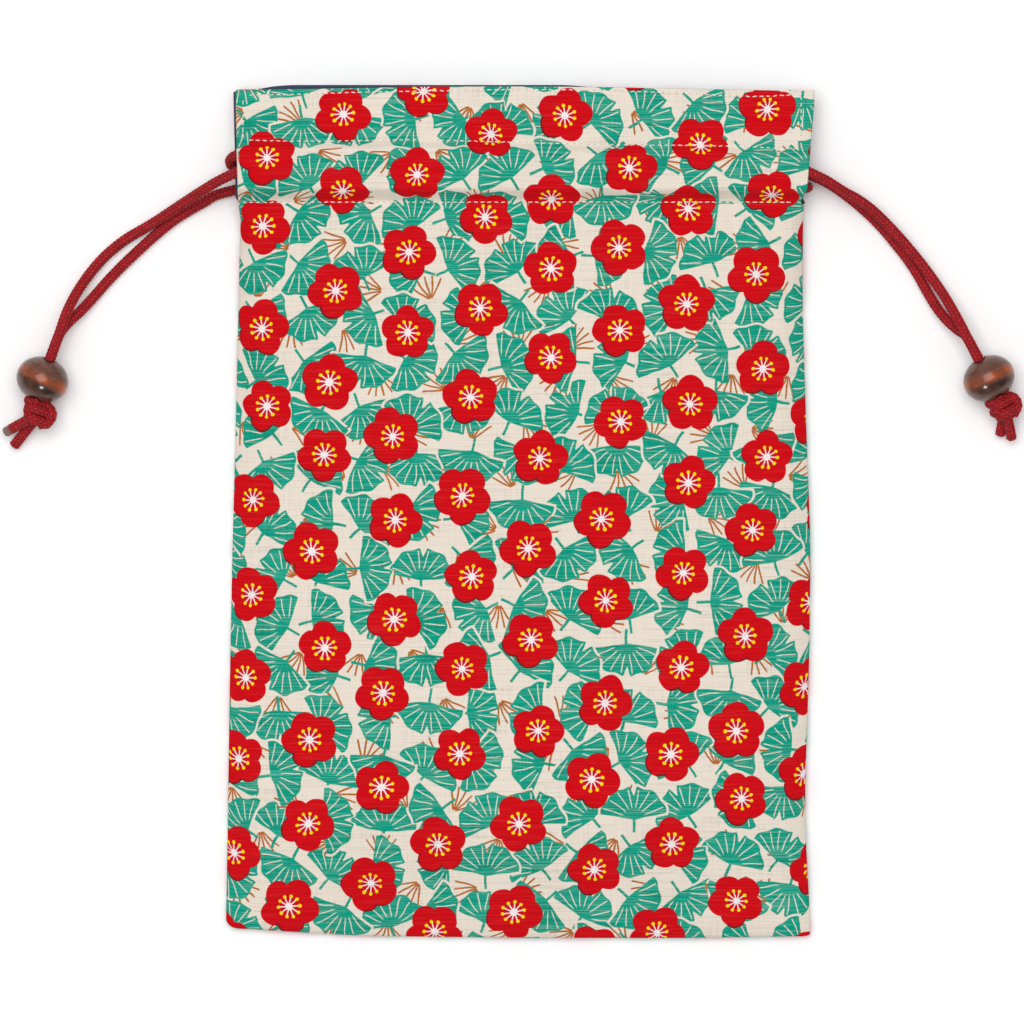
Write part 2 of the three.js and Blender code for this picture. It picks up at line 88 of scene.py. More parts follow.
def grid_faces(rows, columns, loop=False):
    """Quads of a grid of points; loop joins the last column to the first."""
    wide = columns if loop else columns - 1
    row, column = np.meshgrid(np.arange(rows - 1), np.arange(wide), indexing="ij")
    here = row * columns + column
    beside = row * columns + (column + 1) % columns
    quads = np.stack([here, beside, beside + columns, here + columns], axis=-1)
    return quads.reshape(-1, 4).tolist()


def flipped(faces, wanted=True):
    """The faces seen from their other side, where that is wanted."""
    return [face[::-1] for face in faces] if wanted else faces


def join_meshes(meshes):
    """Points and faces of several small meshes as one."""
    points, faces, first = [], [], 0
    for mesh_points, mesh_faces in meshes:
        points.append(mesh_points)
        faces += [[corner + first for corner in face] for face in mesh_faces]
        first += len(mesh_points)
    return np.vstack(points), faces


def make_piece(name, points, faces, notes=None):
    """A smooth mesh with flat end caps, from points in millimetres, and notes on its points."""
    mesh = bpy.data.meshes.new(name)
    mesh.from_pydata((np.asarray(points) * MM).tolist(), [], faces)
    mesh.polygons.foreach_set("use_smooth", [len(face) <= SMOOTH_CORNERS for face in faces])
    for label, values in (notes or {}).items():
        note = mesh.attributes.new(label, "FLOAT_VECTOR", "POINT")
        note.data.foreach_set("vector", np.ascontiguousarray(values, np.float32).ravel())
    piece = bpy.data.objects.new(name, mesh)
    scene.collection.objects.link(piece)
    return piece


def ease(low, high, value):
    """0 below low, 1 above high, and a soft step between."""
    part = np.clip((np.asarray(value, float) - low) / (high - low), 0, 1)
    return part * part * (3 - 2 * part)


print("faces of a grid of 4 by 3 points:", len(grid_faces(4, 3)))

# %% [markdown]
# ## Braided cord
# The drawstring is a round braid of soft yarns, eight running each way, over two
# and under two. That makes the columns of small V shapes seen along it. A curve with
# a bevel would give a smooth hose and a bump map would leave its outline smooth, so
# each tube is a fine grid whose radius follows the crown of the yarn on top. The same
# relief is kept on the points, so that painted shade can darken the colour between the
# yarns and painted light can brighten their crowns.

# %% Smooth routes
FINE_STEP = 0.2
LEAST_STEPS = 4
ROUTE_STEPS = 32


def fine_marks(length):
    """Even marks along a route, close enough to show every yarn."""
    return np.linspace(0, length, max(int(round(length / FINE_STEP)), LEAST_STEPS) + 1)


def between(t, begin, end, first, last):
    """The point at t on the way from the first point, at begin, to the last, at end."""
    return ((end - t) * first + (t - begin) * last) / (end - begin)


def smooth_route(points, marks_of_length=fine_marks):
    """A centripetal curve through the points, walked at the marks that a length asks for."""
    spots = np.array(points, float)
    spots = np.vstack([2 * spots[0] - spots[1], spots, 2 * spots[-1] - spots[-2]])
    walk = []
    for a, b, c, d in zip(spots[:-3], spots[1:-2], spots[2:-1], spots[3:]):
        gaps = [math.sqrt(np.linalg.norm(q - p)) for p, q in ((a, b), (b, c), (c, d))]
        t0, t1, t2, t3 = np.cumsum([0, *gaps])
        t = np.linspace(t1, t2, ROUTE_STEPS, endpoint=False)[:, None]
        b_to_c = between(t, t1, t2, b, c)
        a_to_c = between(t, t0, t2, between(t, t0, t1, a, b), b_to_c)
        b_to_d = between(t, t1, t3, b_to_c, between(t, t2, t3, c, d))
        walk.append(between(t, t1, t2, a_to_c, b_to_d))
    walk = np.vstack([*walk, spots[-2:-1]])
    along = np.r_[0, np.cumsum(np.linalg.norm(np.diff(walk, axis=0), axis=1))]
    marks = marks_of_length(along[-1])
    line = np.column_stack([np.interp(marks, along, walk[:, axis]) for axis in range(3)])
    return line, marks


quarter = smooth_route([(10, 0, 0), (7, 7, 0), (0, 10, 0)])[1]
print("length of a quarter turn of radius 10:", round(float(quarter[-1]), 1))

# %% Frames carried along a route
NEARLY_UPRIGHT = 0.1


def carried_frames(line):
    """Two sides at each point of a line, square to it and carried along without twisting."""
    heading = np.gradient(line, axis=0)
    heading /= np.linalg.norm(heading, axis=1)[:, None]
    side = np.cross(heading[0], (0, 0, 1.0))
    if np.linalg.norm(side) < NEARLY_UPRIGHT:
        side = np.cross(heading[0], (0, 1.0, 0))
    sides = []
    for ahead in heading:
        side = side - ahead * np.dot(side, ahead)
        side = side / np.linalg.norm(side)
        sides.append(side)
    sides = np.array(sides)
    return sides, np.cross(heading, sides)


print("first side of a line along x:", carried_frames(np.outer(np.arange(3), (1, 0, 0)))[0][0])

# %% The braid's relief
YARNS = 8
FLOAT_YARNS = 2
BRAID_PITCH = 1.2
YARN_CROWN = 1.9
FLOAT_ARCH = 0.55
TONE_DICE = (12.9898, 4.1414, 43758.5453)


def braid_relief(turn, along):
    """Height of the top yarn, 0 to 1, and a tone of its own for each yarn's float."""
    rising = YARNS * turn + along / BRAID_PITCH
    falling = YARNS * turn - along / BRAID_PITCH
    i, j = np.floor(rising), np.floor(falling)
    phase = np.mod(i + j, 2 * FLOAT_YARNS)
    on_top = phase < FLOAT_YARNS
    across = np.where(on_top, rising - i, falling - j) - 0.5
    travel = np.where(on_top, phase + falling - j, phase - FLOAT_YARNS + rising - i)
    crown = np.sqrt(np.clip(1 - (YARN_CROWN * across) ** 2, 0, 1))
    arch = np.sin(math.pi * np.clip(travel / FLOAT_YARNS, 0, 1)) ** FLOAT_ARCH
    yarn = np.where(on_top, np.mod(i, YARNS), np.mod(j, YARNS) + YARNS)
    per_yarn, per_float, spread = TONE_DICE
    number = np.floor((i - j) / (2 * FLOAT_YARNS))
    tone = np.sin(yarn * per_yarn + number * per_float) * spread
    return crown * arch, np.mod(tone, 1)


sample = braid_relief(np.linspace(0, 1, 200)[None, :], np.linspace(0, 10, 200)[:, None])[0]
print("mean braid height:", round(float(sample.mean()), 2))

# %% The tube that carries the braid
CORD_RADIUS = 1.6
BRAID_DEPTH = 0.26
FINE_AROUND = 60
CUT_ROUNDING = 0.5
CUT_SHARE = 0.2
MELT_FADE = 0.4
MELT_LEVEL = 0.4


def braid_tube(points, marks=fine_marks, phase=0.0, cut=False, melted=0.0):
    """Points, faces, notes, line and marks of a braided length, rounded where it is cut."""
    line, along = smooth_route(points, marks)
    sides, ups = carried_frames(line)
    turn = np.arange(FINE_AROUND) / FINE_AROUND
    relief, tone = braid_relief(turn[None, :], along[:, None] + phase)
    to_end = along[-1] - along
    to_cut = to_end / CUT_ROUNDING if cut else np.ones(len(along))
    rounding = np.sqrt(np.clip(1 - (1 - np.clip(to_cut, 0, 1)) ** 2, CUT_SHARE, 1))
    melt = ease(melted, melted * MELT_FADE, to_end) if melted else np.zeros(len(along))
    relief = relief * (1 - melt[:, None]) + MELT_LEVEL * melt[:, None]
    radius = (CORD_RADIUS - BRAID_DEPTH * (1 - relief)) * rounding[:, None]
    angle = 2 * math.pi * turn[None, :, None]
    ring = np.cos(angle) * sides[:, None] + np.sin(angle) * ups[:, None]
    tube = (line[:, None] + radius[..., None] * ring).reshape(-1, 3)
    faces = grid_faces(len(line), FINE_AROUND, loop=True)
    faces.append(list(range(FINE_AROUND))[::-1])
    faces.append(list(range(len(tube) - FINE_AROUND, len(tube))))
    melt = np.broadcast_to(melt[:, None], relief.shape)
    notes = np.stack([relief, tone, melt], axis=-1).reshape(-1, 3)
    return tube, faces, notes, line, along


def join_tubes(name, tubes):
    """Several braided lengths as one piece."""
    points, faces = join_meshes([tube[:2] for tube in tubes])
    return make_piece(name, points, faces, {"braid": np.vstack([tube[2] for tube in tubes])})


print("cord, mm across:", 2 * CORD_RADIUS)

# %% [markdown]
# ## The free ends of the cords
# Each cord is a loop: it runs through the front channel, turns round the far slit and
# comes back through the back channel, so two strands leave on its own side. They come
# down from the cloth to the table, lie along each other and rise into the bead. The
# routes repeat the solids' points, measured from the end of the lower stitch row. An
# exit gives its height on the pouch and how far the strand falls per step outwards. A
# tail gives its bearing in degrees, its reach, its start above or below the knot's
# middle, the level of its tip and its melted length.

# %% Where the cords lie
LEFT = {
    "name": "left",
    "side": -1,
    "exits": {"front": (98.3, 0.48), "back": (94.3, 0.25)},
    "turn": {"front": 95.5, "back": 95.5, "reach": 2.7},
    "bead": (-55.5, -52.1),
    "axis": (0.35, 0.937),
    "knot": (-56.7, -62.3),
    "wrap_place": -0.9,
    "front": [
        (-5, 5.4, 11.2), (-8, 3.6, 10), (-11, 1.8, 8.2), (-14.7, -0.5, 6), (-18.4, -2.9, 4.5),
        (-22.1, -5.3, 3.3), (-26.4, -7.8, 2.1), (-30.7, -10.3, 1.7), (-34.6, -13.2, 1.7),
        (-38.2, -16.5, 1.9), (-41.4, -20.3, 2.8), (-44.3, -24.5, 4.5), (-46.8, -29, 6.9),
        (-48.6, -33.2, 8.8),
    ],
    "back": [
        (-5, 2.2, 2.1), (-8.2, 0.3, 1.8), (-12.6, -2.2, 1.7), (-17.3, -5.2, 1.7),
        (-23.3, -10.1, 1.7), (-28, -14.4, 1.7), (-32.6, -18.8, 1.7), (-37, -23.4, 1.7),
        (-40.8, -27.8, 2.2), (-44.4, -31.8, 3.5), (-47.7, -35, 5.1),
    ],
    "tails": [(208, 11.4, 1.2, 3.4, 3.6), (231, 12.2, -1.9, 1.8, 0.0)],
}
RIGHT = {
    "name": "right",
    "side": 1,
    "exits": {"front": (99.1, 0.48), "back": (99.1, 0.48)},
    "turn": {"front": 104.8, "back": 101.0, "reach": 3.3},
    "bead": (53, -51.8),
    "axis": (-0.477, 0.879),
    "knot": (57.7, -60.6),
    "wrap_place": -0.4,
    "front": [
        (5, 6.3, 11.3), (7.8, 4.6, 10.2), (10.6, 2.9, 8.8), (14.6, 0.8, 7.1),
        (18.9, -2.3, 5.9), (22.7, -5.9, 5.2), (26.5, -9.9, 4.8), (30.3, -14.3, 4.5),
        (34, -18.9, 4.2), (37.2, -23.3, 4.4), (40, -27.6, 5.6), (42.2, -31.5, 7.4),
        (44, -34.9, 8.9),
    ],
    "back": [
        (5, 6.3, 2.1), (7.6, 4.8, 1.8), (10.2, 3, 1.7), (13.2, 0.7, 1.7),
        (17.2, -2.7, 1.7), (21.2, -6.6, 1.7), (25.2, -11.3, 1.7), (29, -16.1, 1.7),
        (32.2, -20.9, 1.7), (35.2, -26.3, 1.9), (38.3, -31.4, 3), (41.3, -35.1, 4.6),
        (44.1, -37.6, 5.7),
    ],
    "tails": [(262, 7.9, -1.9, 1.8, 0.0), (284, 9.2, 1.2, 3.4, 0.0)],
}
ENDS = (LEFT, RIGHT)
FACES = ("front", "back")
print("laid points:", {end["name"]: [len(end[face]) for face in FACES] for end in ENDS})

# %% The four strands
SIDE = 85.0
LOWER_ROW = 91.0
CORD_LEVELS = {"front": 11.8, "back": 2.4}
CORD_EXIT = 86.3
CORD_LEAD = 0.9
BEAD_LEVEL = 7.7
BEAD_HALF = 5.6
BEAD_STRAIGHT = 9.0
STRAND_OFFSETS = {"front": 1.75, "back": -1.75}
STRAND_DROP = 0.45
cord_pieces = []


def in_row_frame(end, point, level=0.0):
    """A free end's own x and y, from the end of the lower stitch row, as a point."""
    return np.array([end["side"] * SIDE + point[0], LOWER_ROW + point[1], level])


def bead_axis(end):
    """The way a bead's bore points, towards the pouch."""
    axis = np.array([*end["axis"], 0.0])
    return axis / np.linalg.norm(axis)


def cord_exit(end, face):
    """Where a strand leaves its channel, and how far it falls per step outwards."""
    height, fall = end["exits"][face]
    return np.array([end["side"] * CORD_EXIT, height, CORD_LEVELS[face]]), fall


def strand_route(end, face):
    """Exit, a short sloping lead, the listed route, and through the bead to the knot."""
    exit_point, fall = cord_exit(end, face)
    lead = exit_point + CORD_LEAD * np.array([end["side"], -fall, 0])
    laid = [in_row_frame(end, spot, spot[2]) for spot in end[face]]
    middle = in_row_frame(end, end["bead"], BEAD_LEVEL + STRAND_OFFSETS[face])
    spots = (BEAD_HALF + BEAD_STRAIGHT, BEAD_HALF, 0.0, -BEAD_HALF)
    bead = [middle + bead_axis(end) * along for along in spots]
    bead[-1][2] -= STRAND_DROP
    return [exit_point, lead, *laid, *bead]


def cord_piece(end, part, node, tubes):
    """Braided lengths as one piece of an end's cord, in place of a solid."""
    piece = join_tubes(f"{end['name']}_{part}_braid", tubes)
    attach(piece, f"{end['name']}_cord")
    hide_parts(f"{end['name']}_{node}")
    cord_pieces.append(piece)
    return piece


for end in ENDS:
    for face in FACES:
        tube = braid_tube(strand_route(end, face))
        piece = cord_piece(end, f"{face}_strand", f"{face}_strand", [tube])
        line, length = tube[3], float(tube[4][-1])
        print(piece.name, "length, mm:", round(length, 1))

# %% [markdown]
# ## Runs in the channels and the turns at the far slits
# Inside the channels the cords run almost straight and only their last few millimetres
# show, so the grid is fine there and coarse where cloth hides it. A run leans over to
# its strand's slope just before the exit, and the braid's phase is counted from there,
# which lets the two meet without a step. At the far slit each cord shows as a tight
# little loop from the front channel to the back one.

# %% Runs and turns
TURN_START = 82.0
TURN_POINTS = 13
LEAN_LENGTH = 3.5
EVEN_LENGTH = 17.5
EVEN_POINTS = 4
SHOWN_LENGTH = 9.0
HIDDEN_STEPS = 60


def run_marks(length):
    """Coarse steps in the hidden part of a run, fine ones near the exit."""
    shown = length - SHOWN_LENGTH
    hidden = np.linspace(0, shown, HIDDEN_STEPS, endpoint=False)
    return np.r_[hidden, np.arange(shown, length, FINE_STEP), length]


def turn_side(end, face):
    """Where a run meets its turn, just inside the far slit."""
    return np.array([-end["side"] * TURN_START, end["turn"][face], CORD_LEVELS[face]])


for end in ENDS:
    side = end["side"]
    for face in FACES:
        exit_point, fall = cord_exit(end, face)
        slope = LEAN_LENGTH * np.array([-side, fall, 0])
        lean = [exit_point + share * slope for share in (1, 0.5, 0)]
        even_end = lean[0] - (side * EVEN_LENGTH, 0, 0)
        spots = [*np.linspace(turn_side(end, face), even_end, EVEN_POINTS), *lean]
        length = smooth_route(spots)[1][-1]
        tube = braid_tube(spots, run_marks, phase=-length)
        cord_piece(end, f"{face}_run", f"cord_{face}_run", [tube])
    angle = np.linspace(0, math.pi, TURN_POINTS)
    front, back = (turn_side(end, face) for face in FACES)
    loop = front + np.outer((1 - np.cos(angle)) / 2, back - front)
    loop[:, 0] -= side * end["turn"]["reach"] * np.sin(angle)
    cord_piece(end, "turn", "cord_turn", [braid_tube(loop)])
print("cord pieces so far:", len(cord_pieces))

# %% [markdown]
# ## Knots and tails
# Below each bead both strands are tied in one overhand knot, so that the bead can't
# slip off. Two strands pass through the middle, the same two wrap round them and tuck
# in, and a bight bulges on one side. Two cut tails stick out below, and one of them has
# a tip that was melted to stop it fraying. Tubes along helices show the lumps and dark
# creases of a tight knot.

# %% Strands in a knot
KNOT_LEVEL = 6.8
KNOT_HALF = 2.4
CORE_OFFSETS = {"back": -1.4, "front": 1.4}
CORE_BEND = (0.3, 1.4)
CORE_FOOT = 1.2
WRAP_RADIUS = 3.2
WRAP_TURNS = 1.3
WRAP_POINTS = 30
WRAP_LEAN = -0.12
WRAP_TUCK = 0.14
TUCKED_SHARE = 0.35
WRAP_SHIFTS = {"back": (0.0, -0.3), "front": (0.35, 2.7)}
BIGHT = [(-0.8, 2.9, 0.9), (2.0, 2.9, 1.3), (3.8, 1.2, 1.5), (3.5, -1.0, 1.3), (1.2, -2.8, 0.5)]


def knot_tube(end, spots):
    """A braided length through points about the knot's middle, y along the bead's axis."""
    axis = bead_axis(end)
    across = np.array([axis[1], -axis[0], 0.0])
    middle = in_row_frame(end, end["knot"], KNOT_LEVEL)
    return braid_tube(middle + np.asarray(spots, float) @ np.array([across, axis, (0, 0, 1.0)]))


def core_route(face, aside, foot):
    """A strand from below the bead to the knot's foot."""
    lift = CORE_OFFSETS[face]
    from_bead = STRAND_OFFSETS[face] + BEAD_LEVEL - STRAND_DROP - KNOT_LEVEL
    bend_aside, bend_rise = CORE_BEND
    bend = (bend_aside * aside, bend_rise, lift)
    return [(aside, foot, from_bead), bend, (0, -KNOT_HALF - CORE_FOOT, lift)]


def wrap_route(face, aside, place):
    """A turn and a bit round the two cores, tucked in at both ends."""
    slide, shift = WRAP_SHIFTS[face]
    part = np.linspace(0, 1, WRAP_POINTS)
    angle = math.pi / 2 + part * WRAP_TURNS * 2 * math.pi
    tuck = ease(0, WRAP_TUCK, np.minimum(part, 1 - part))
    radius = WRAP_RADIUS * (TUCKED_SHARE + (1 - TUCKED_SHARE) * tuck)
    out = radius * np.cos(angle)
    rise = (0.5 - part) * KNOT_HALF + shift + place + WRAP_LEAN * out
    return np.column_stack([out + slide * aside, rise, radius * np.sin(angle)])


print("a wrap's length, mm:", round(float(smooth_route(wrap_route("back", 0, 0))[1][-1]), 1))

# %% Tie the knots and cut the tails
TAIL_START = 2.2
TAIL_PLACES = np.array([0, 0.5, 1])
TAIL_FALLS = np.array([0, 0.4, 1])
knots, tails = {}, {}


def tail_route(end, bearing, reach, lift, last_level):
    """From inside the knot out to a cut tip that sinks towards the table."""
    way = math.radians(bearing)
    out = TAIL_START + (reach - TAIL_START) * TAIL_PLACES
    spots = in_row_frame(end, end["knot"]) + np.outer(out, (math.cos(way), math.sin(way), 0))
    first_level = KNOT_LEVEL + lift
    spots[:, 2] = first_level + (last_level - first_level) * TAIL_FALLS
    return spots


for end in ENDS:
    from_knot = in_row_frame(end, end["bead"]) - in_row_frame(end, end["knot"])
    aside = float(np.dot(from_knot, np.cross(bead_axis(end), (0, 0, 1.0))))
    foot = float(np.dot(from_knot, bead_axis(end))) - BEAD_HALF
    lengths = [knot_tube(end, BIGHT)]
    for face in CORE_OFFSETS:
        lengths.append(knot_tube(end, core_route(face, aside, foot)))
        lengths.append(knot_tube(end, wrap_route(face, aside, end["wrap_place"])))
    knot = cord_piece(end, "knot", "knot", lengths)
    knots[end["name"]], tails[end["name"]] = knot, []
    for number, (*lie, melted) in enumerate(end["tails"], 1):
        tube = braid_tube(tail_route(end, *lie), cut=True, melted=melted)
        tails[end["name"]].append(cord_piece(end, f"tail_{number}", f"tail_{number}", [tube]))
    print(knot.name, "mm:", [round(size / MM, 1) for size in knot.dimensions])

# %% [markdown]
# ## Beads
# Each cord lock is a turned wooden bead, a little flattened, with a bore that the two
# strands fill. A turner cuts such a bead from a stick, so its outline is one curve spun
# round the bore. The curve here is an ellipse outside, an arc that touches the ellipse
# and the bore as a lip, and the bore itself. The bore is a little oval, as high as the
# two strands on top of each other, so the curve is found anew for each step of the spin.

# %% A bead's section
BEAD_RADIUS = 7.8
LONG_RADIUS = 6.7
BORE_WIDE, BORE_HIGH = 1.75, 3.55
LIP = 0.5
OUTSIDE_POINTS = 26
LIP_POINTS = 12
BORE_POINTS = 12


def bead_profile(bore_radius):
    """Distances from the axis and along it, round the section of a bead."""
    lip_start = bore_radius + LIP
    lip_angle = math.acos(lip_start / BEAD_RADIUS)
    lip_level = LONG_RADIUS * math.sin(lip_angle)
    normal = math.atan2(lip_level / LONG_RADIUS**2, lip_start / BEAD_RADIUS**2)
    lip_radius = LIP / (1 + math.cos(normal))
    lip_middle = (bore_radius + lip_radius, lip_level - lip_radius * math.sin(normal))
    outside = np.linspace(0, lip_angle, OUTSIDE_POINTS)
    upper_half = list(zip(BEAD_RADIUS * np.cos(outside), LONG_RADIUS * np.sin(outside)))
    over = np.linspace(normal, math.pi, LIP_POINTS)[1:]
    lip_x = lip_middle[0] + lip_radius * np.cos(over)
    upper_lip = list(zip(lip_x, lip_middle[1] + lip_radius * np.sin(over)))
    levels = np.linspace(lip_middle[1], -lip_middle[1], BORE_POINTS)[1:-1]
    bore = [(bore_radius, level) for level in levels]
    lower_half = [(radius, -level) for radius, level in upper_half[:0:-1]]
    lower_lip = [(radius, -level) for radius, level in upper_lip[::-1]]
    return np.array(lower_half + upper_half + upper_lip + bore + lower_lip)


print("points round a section:", len(bead_profile(BORE_WIDE)))

# %% Turned beads
AROUND_BEAD = 96

spin = 2 * math.pi * np.arange(AROUND_BEAD) / AROUND_BEAD
bores = 1 / np.hypot(np.cos(spin) / BORE_WIDE, np.sin(spin) / BORE_HIGH)
profiles = np.stack([bead_profile(bore) for bore in bores], axis=1)
out, along = profiles[..., 0], profiles[..., 1]
bead_points = np.stack([out * np.cos(spin), along, out * np.sin(spin)], axis=-1)
bead_faces = grid_faces(len(profiles), AROUND_BEAD, loop=True)
last_ring = (len(profiles) - 1) * AROUND_BEAD
for column in range(AROUND_BEAD):
    beside = (column + 1) % AROUND_BEAD
    bead_faces.append([last_ring + column, last_ring + beside, beside, column])

beads = {}
for end in ENDS:
    name = f"{end['name']}_bead"
    bead = make_piece(f"{name}_wood", bead_points.reshape(-1, 3), flipped(bead_faces))
    middle = in_row_frame(end, end["bead"], BEAD_LEVEL) * MM
    lean = math.atan2(-end["axis"][0], end["axis"][1])
    bead.matrix_world = Matrix.Translation(Vector(middle)) @ Matrix.Rotation(lean, 4, "Z")
    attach(bead, name)
    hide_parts(name)
    beads[end["name"]] = bead
    print(name, "mm:", [round(side / MM, 1) for side in bead.dimensions])

# %% [markdown] ## Limp strands A mesh alone doesn't say that a strand is limp. Whoever
# lets the cords fall in a simulation has to know where each one leaves the pouch, how
# long and thick it is, how it ends and what hangs on it. Two strands share one bead,
# knot and pair of tails.

# %% [markdown]
# ## The shape of the cloth
# An empty pouch on a table is a soft pillow. Its front rises from the side seams in a
# rolled edge, the back lies flat, and above the lower stitch row the two lips are free
# of each other, with the cords in the channels between cloth and lining. Cloth
# simulation could drape it, but the pouch has to bend with its drawn-in mouth, so its
# surface is written as heights over the plan. The edges wander as sewn edges do. In
# the tables, -1 is the left side and 1 the right one, and True is the front.

# %% Edges that wander
TOP_EDGE = 125.0
BOTTOM_EDGE = -125.0
UPPER_ROW = 108.0
EDGE_WANDER = {
    -1: ([-125, -100, -84, -50, -14, 24, 62, 91, 108, 125],
         [87.1, 86.6, 86.4, 85.9, 85.2, 84.2, 83.3, 82.6, 83.1, 83.5]),
    1: ([-125, -112, -100, -85, -46, -11, 24, 62, 91, 108, 125],
        [86.0, 85.6, 84.7, 84.3, 85.6, 86.1, 84.8, 83.6, 83.8, 85.3, 86.7]),
}
BOTTOM_WANDER = ([-85, -62, -45, 0, 47, 85], [-122.7, -124.2, -125.1, -125.6, -125.7, -125.1])
TOP_WANDER = (
    [-84, -75, -60, -49, -28, 0, 18, 35, 72, 86],
    [-1.25, -0.85, -0.75, -0.5, 0, 0, -0.1, -0.4, -1.15, -1.3],
)
UPPER_STITCHES = (
    [-81.4, -66, -40, -29, -10, 11, 26, 54, 71, 82.6],
    [109.3, 108.7, 109.1, 109.4, 108.7, 108.2, 107.8, 107.6, 107.1, 106.5],
)
TOP_STITCHES = (
    [-81.4, -60.6, -49.4, -23.5, -1.5, 24, 35, 50, 60, 71, 77.6, 84.6],
    [122.4, 122.8, 123.3, 123.7, 124.2, 123.9, 123.5, 122.9, 122.2, 121.8, 122.2, 123.2],
)
SOFTENING = (-9, -6, -3, 0, 3, 6, 9)
NOTCH_DEPTH = 1.5
NOTCH_RISE = 0.4
NOTCH_WIDTH = 2.0
BACK_PROUD = 0.85
LEFT_DROOP, MIDDLE_DROOP, RIGHT_DROOP = 1.2, 0.4, 1.0
HEADER_START = 2.0


def wander(table, where):
    """A listed edge, softened so that no kink shows between its few points."""
    return sum(np.interp(where + shift, *table) for shift in SOFTENING) / len(SOFTENING)


def side_edge(side, front, y):
    """The side edge, with the nick that stitches make at the foot of the right slit."""
    depth = NOTCH_DEPTH if side > 0 and front else 0.0
    nick = depth * np.exp(-(((y - LOWER_ROW - NOTCH_RISE) / NOTCH_WIDTH) ** 2))
    return wander(EDGE_WANDER[side], y) - nick


def front_top(x):
    """How far the front's top edge droops towards the corners."""
    return wander(TOP_WANDER, x)


def back_top(x):
    """The back stands a little higher than the front along part of the top edge."""
    proud = BACK_PROUD * ease(-80, -66, x) * (1 - ease(12, 26, x))
    left = LEFT_DROOP * (1 - ease(-84, -72, x))
    return proud - left - MIDDLE_DROOP * ease(20, 40, x) - RIGHT_DROOP * ease(40, 75, x)


def droop_share(y):
    """0 in the channel and 1 at the top edge: the header alone follows the droop."""
    return ease(UPPER_ROW + HEADER_START, TOP_EDGE, y)


TOP_DROOP = {True: front_top, False: back_top}
for front, droop in TOP_DROOP.items():
    print("front" if front else "back", "droop, mm:", np.round(droop(np.array([-84, 0, 86])), 2))

# %% Levels of the front and the back
CROWN_LOW, CROWN_RISE, CROWN_FALL = 5.0, 7.0, 1.3
EDGE_LOW, EDGE_RISE, HEM_RISE = 5.0, 4.4, 0.8
CROWN_FULL, NECK_START, HEM_FULL = -87.0, 36.0, 96.0
CHANNEL_RISE, CHANNEL_FULL = 3.6, 95.4
ROW_LOSS, ROW_SLOPE = 0.6, 3.0
PLEATS = ((0.26, 11.4), (0.2, 17.3))
PLEAT_START = 48.0
HEADER_CALM, WAVE_CALM = 0.55, 0.7
SLOW_HEIGHT, SLOW_WIDE, SLOW_TALL, SLOW_START = 0.3, 15.5, 23.0, 0.7
SLANT_HEIGHT, SLANT_WIDE, SLANT_TALL = 0.22, 31.0, 40.0
DIP_DEPTH, DIP_WIDTH = 0.3, 0.8
EDGE_WAVES = 0.2
EDGE_POWER, CALM_POWER = 4, 6
BACK_LEVEL = 0.3
BACK_HEIGHT, BACK_WIDE, BACK_TALL = 0.16, 13.0, 19.0
SLIT_FOOT = 84.5


def ripples(x, y):
    """Small pleats that fan out from the channel, and slow waves over the panel."""
    pleats = sum(height * np.cos(2 * math.pi * x / length) for height, length in PLEATS)
    reach = ease(PLEAT_START, LOWER_ROW, y) * (1 - HEADER_CALM * ease(UPPER_ROW, TOP_EDGE, y))
    slow = SLOW_HEIGHT * np.cos(x / SLOW_WIDE) * np.sin(y / SLOW_TALL + SLOW_START)
    slow = slow + SLANT_HEIGHT * np.cos(x / SLANT_WIDE + y / SLANT_TALL)
    return pleats * reach + slow * (1 - WAVE_CALM * reach)


def stitch_dip(x, y):
    """The shallow valley that a sewn row pulls into the cloth."""
    rows = (LOWER_ROW, wander(UPPER_STITCHES, x), wander(TOP_STITCHES, x) - front_top(x))
    return sum(DIP_DEPTH * np.exp(-(((y - row) / DIP_WIDTH) ** 2)) for row in rows)


def calm(share):
    """1 on the middle line, where a point's share of the way out is 0, and 0 on the edge."""
    return 1 - share**CALM_POWER


def front_level(x, y, share):
    """Outer face of the front: crowned panel, full channel and loose header."""
    neck = ease(NECK_START, LOWER_ROW, y)
    crown = CROWN_LOW + CROWN_RISE * ease(BOTTOM_EDGE, CROWN_FULL, y) - CROWN_FALL * neck
    edge = EDGE_LOW + EDGE_RISE * neck + HEM_RISE * ease(LOWER_ROW, HEM_FULL, y)
    row = wander(UPPER_STITCHES, x)
    channel = CHANNEL_RISE * ease(LOWER_ROW, CHANNEL_FULL, y)
    at_row, in_header = ease(row - ROW_SLOPE, row, y), ease(row, TOP_EDGE, y)
    channel = channel * (1 - ROW_LOSS * at_row - (1 - ROW_LOSS) * in_header)
    level = crown + (edge - crown) * share**EDGE_POWER + channel
    waves = ripples(x, y) * (EDGE_WAVES + (1 - EDGE_WAVES) * calm(share))
    return level + waves - stitch_dip(x, y)


def back_level(x, y, share):
    """Outer face of the back, which lies on the table."""
    waves = BACK_HEIGHT * (1 + np.cos(x / BACK_WIDE) * np.sin(y / BACK_TALL))
    return BACK_LEVEL + waves * calm(share)


def lip_free(y):
    """0 where the side seam holds front and back together, 1 where the lips are free."""
    return ease(SLIT_FOOT, LOWER_ROW, y)


FACE_LEVEL = {True: front_level, False: back_level}
OUTWARD = {True: 1, False: -1}
print("crown, mm:", round(float(front_level(0, 0, 0)), 1))
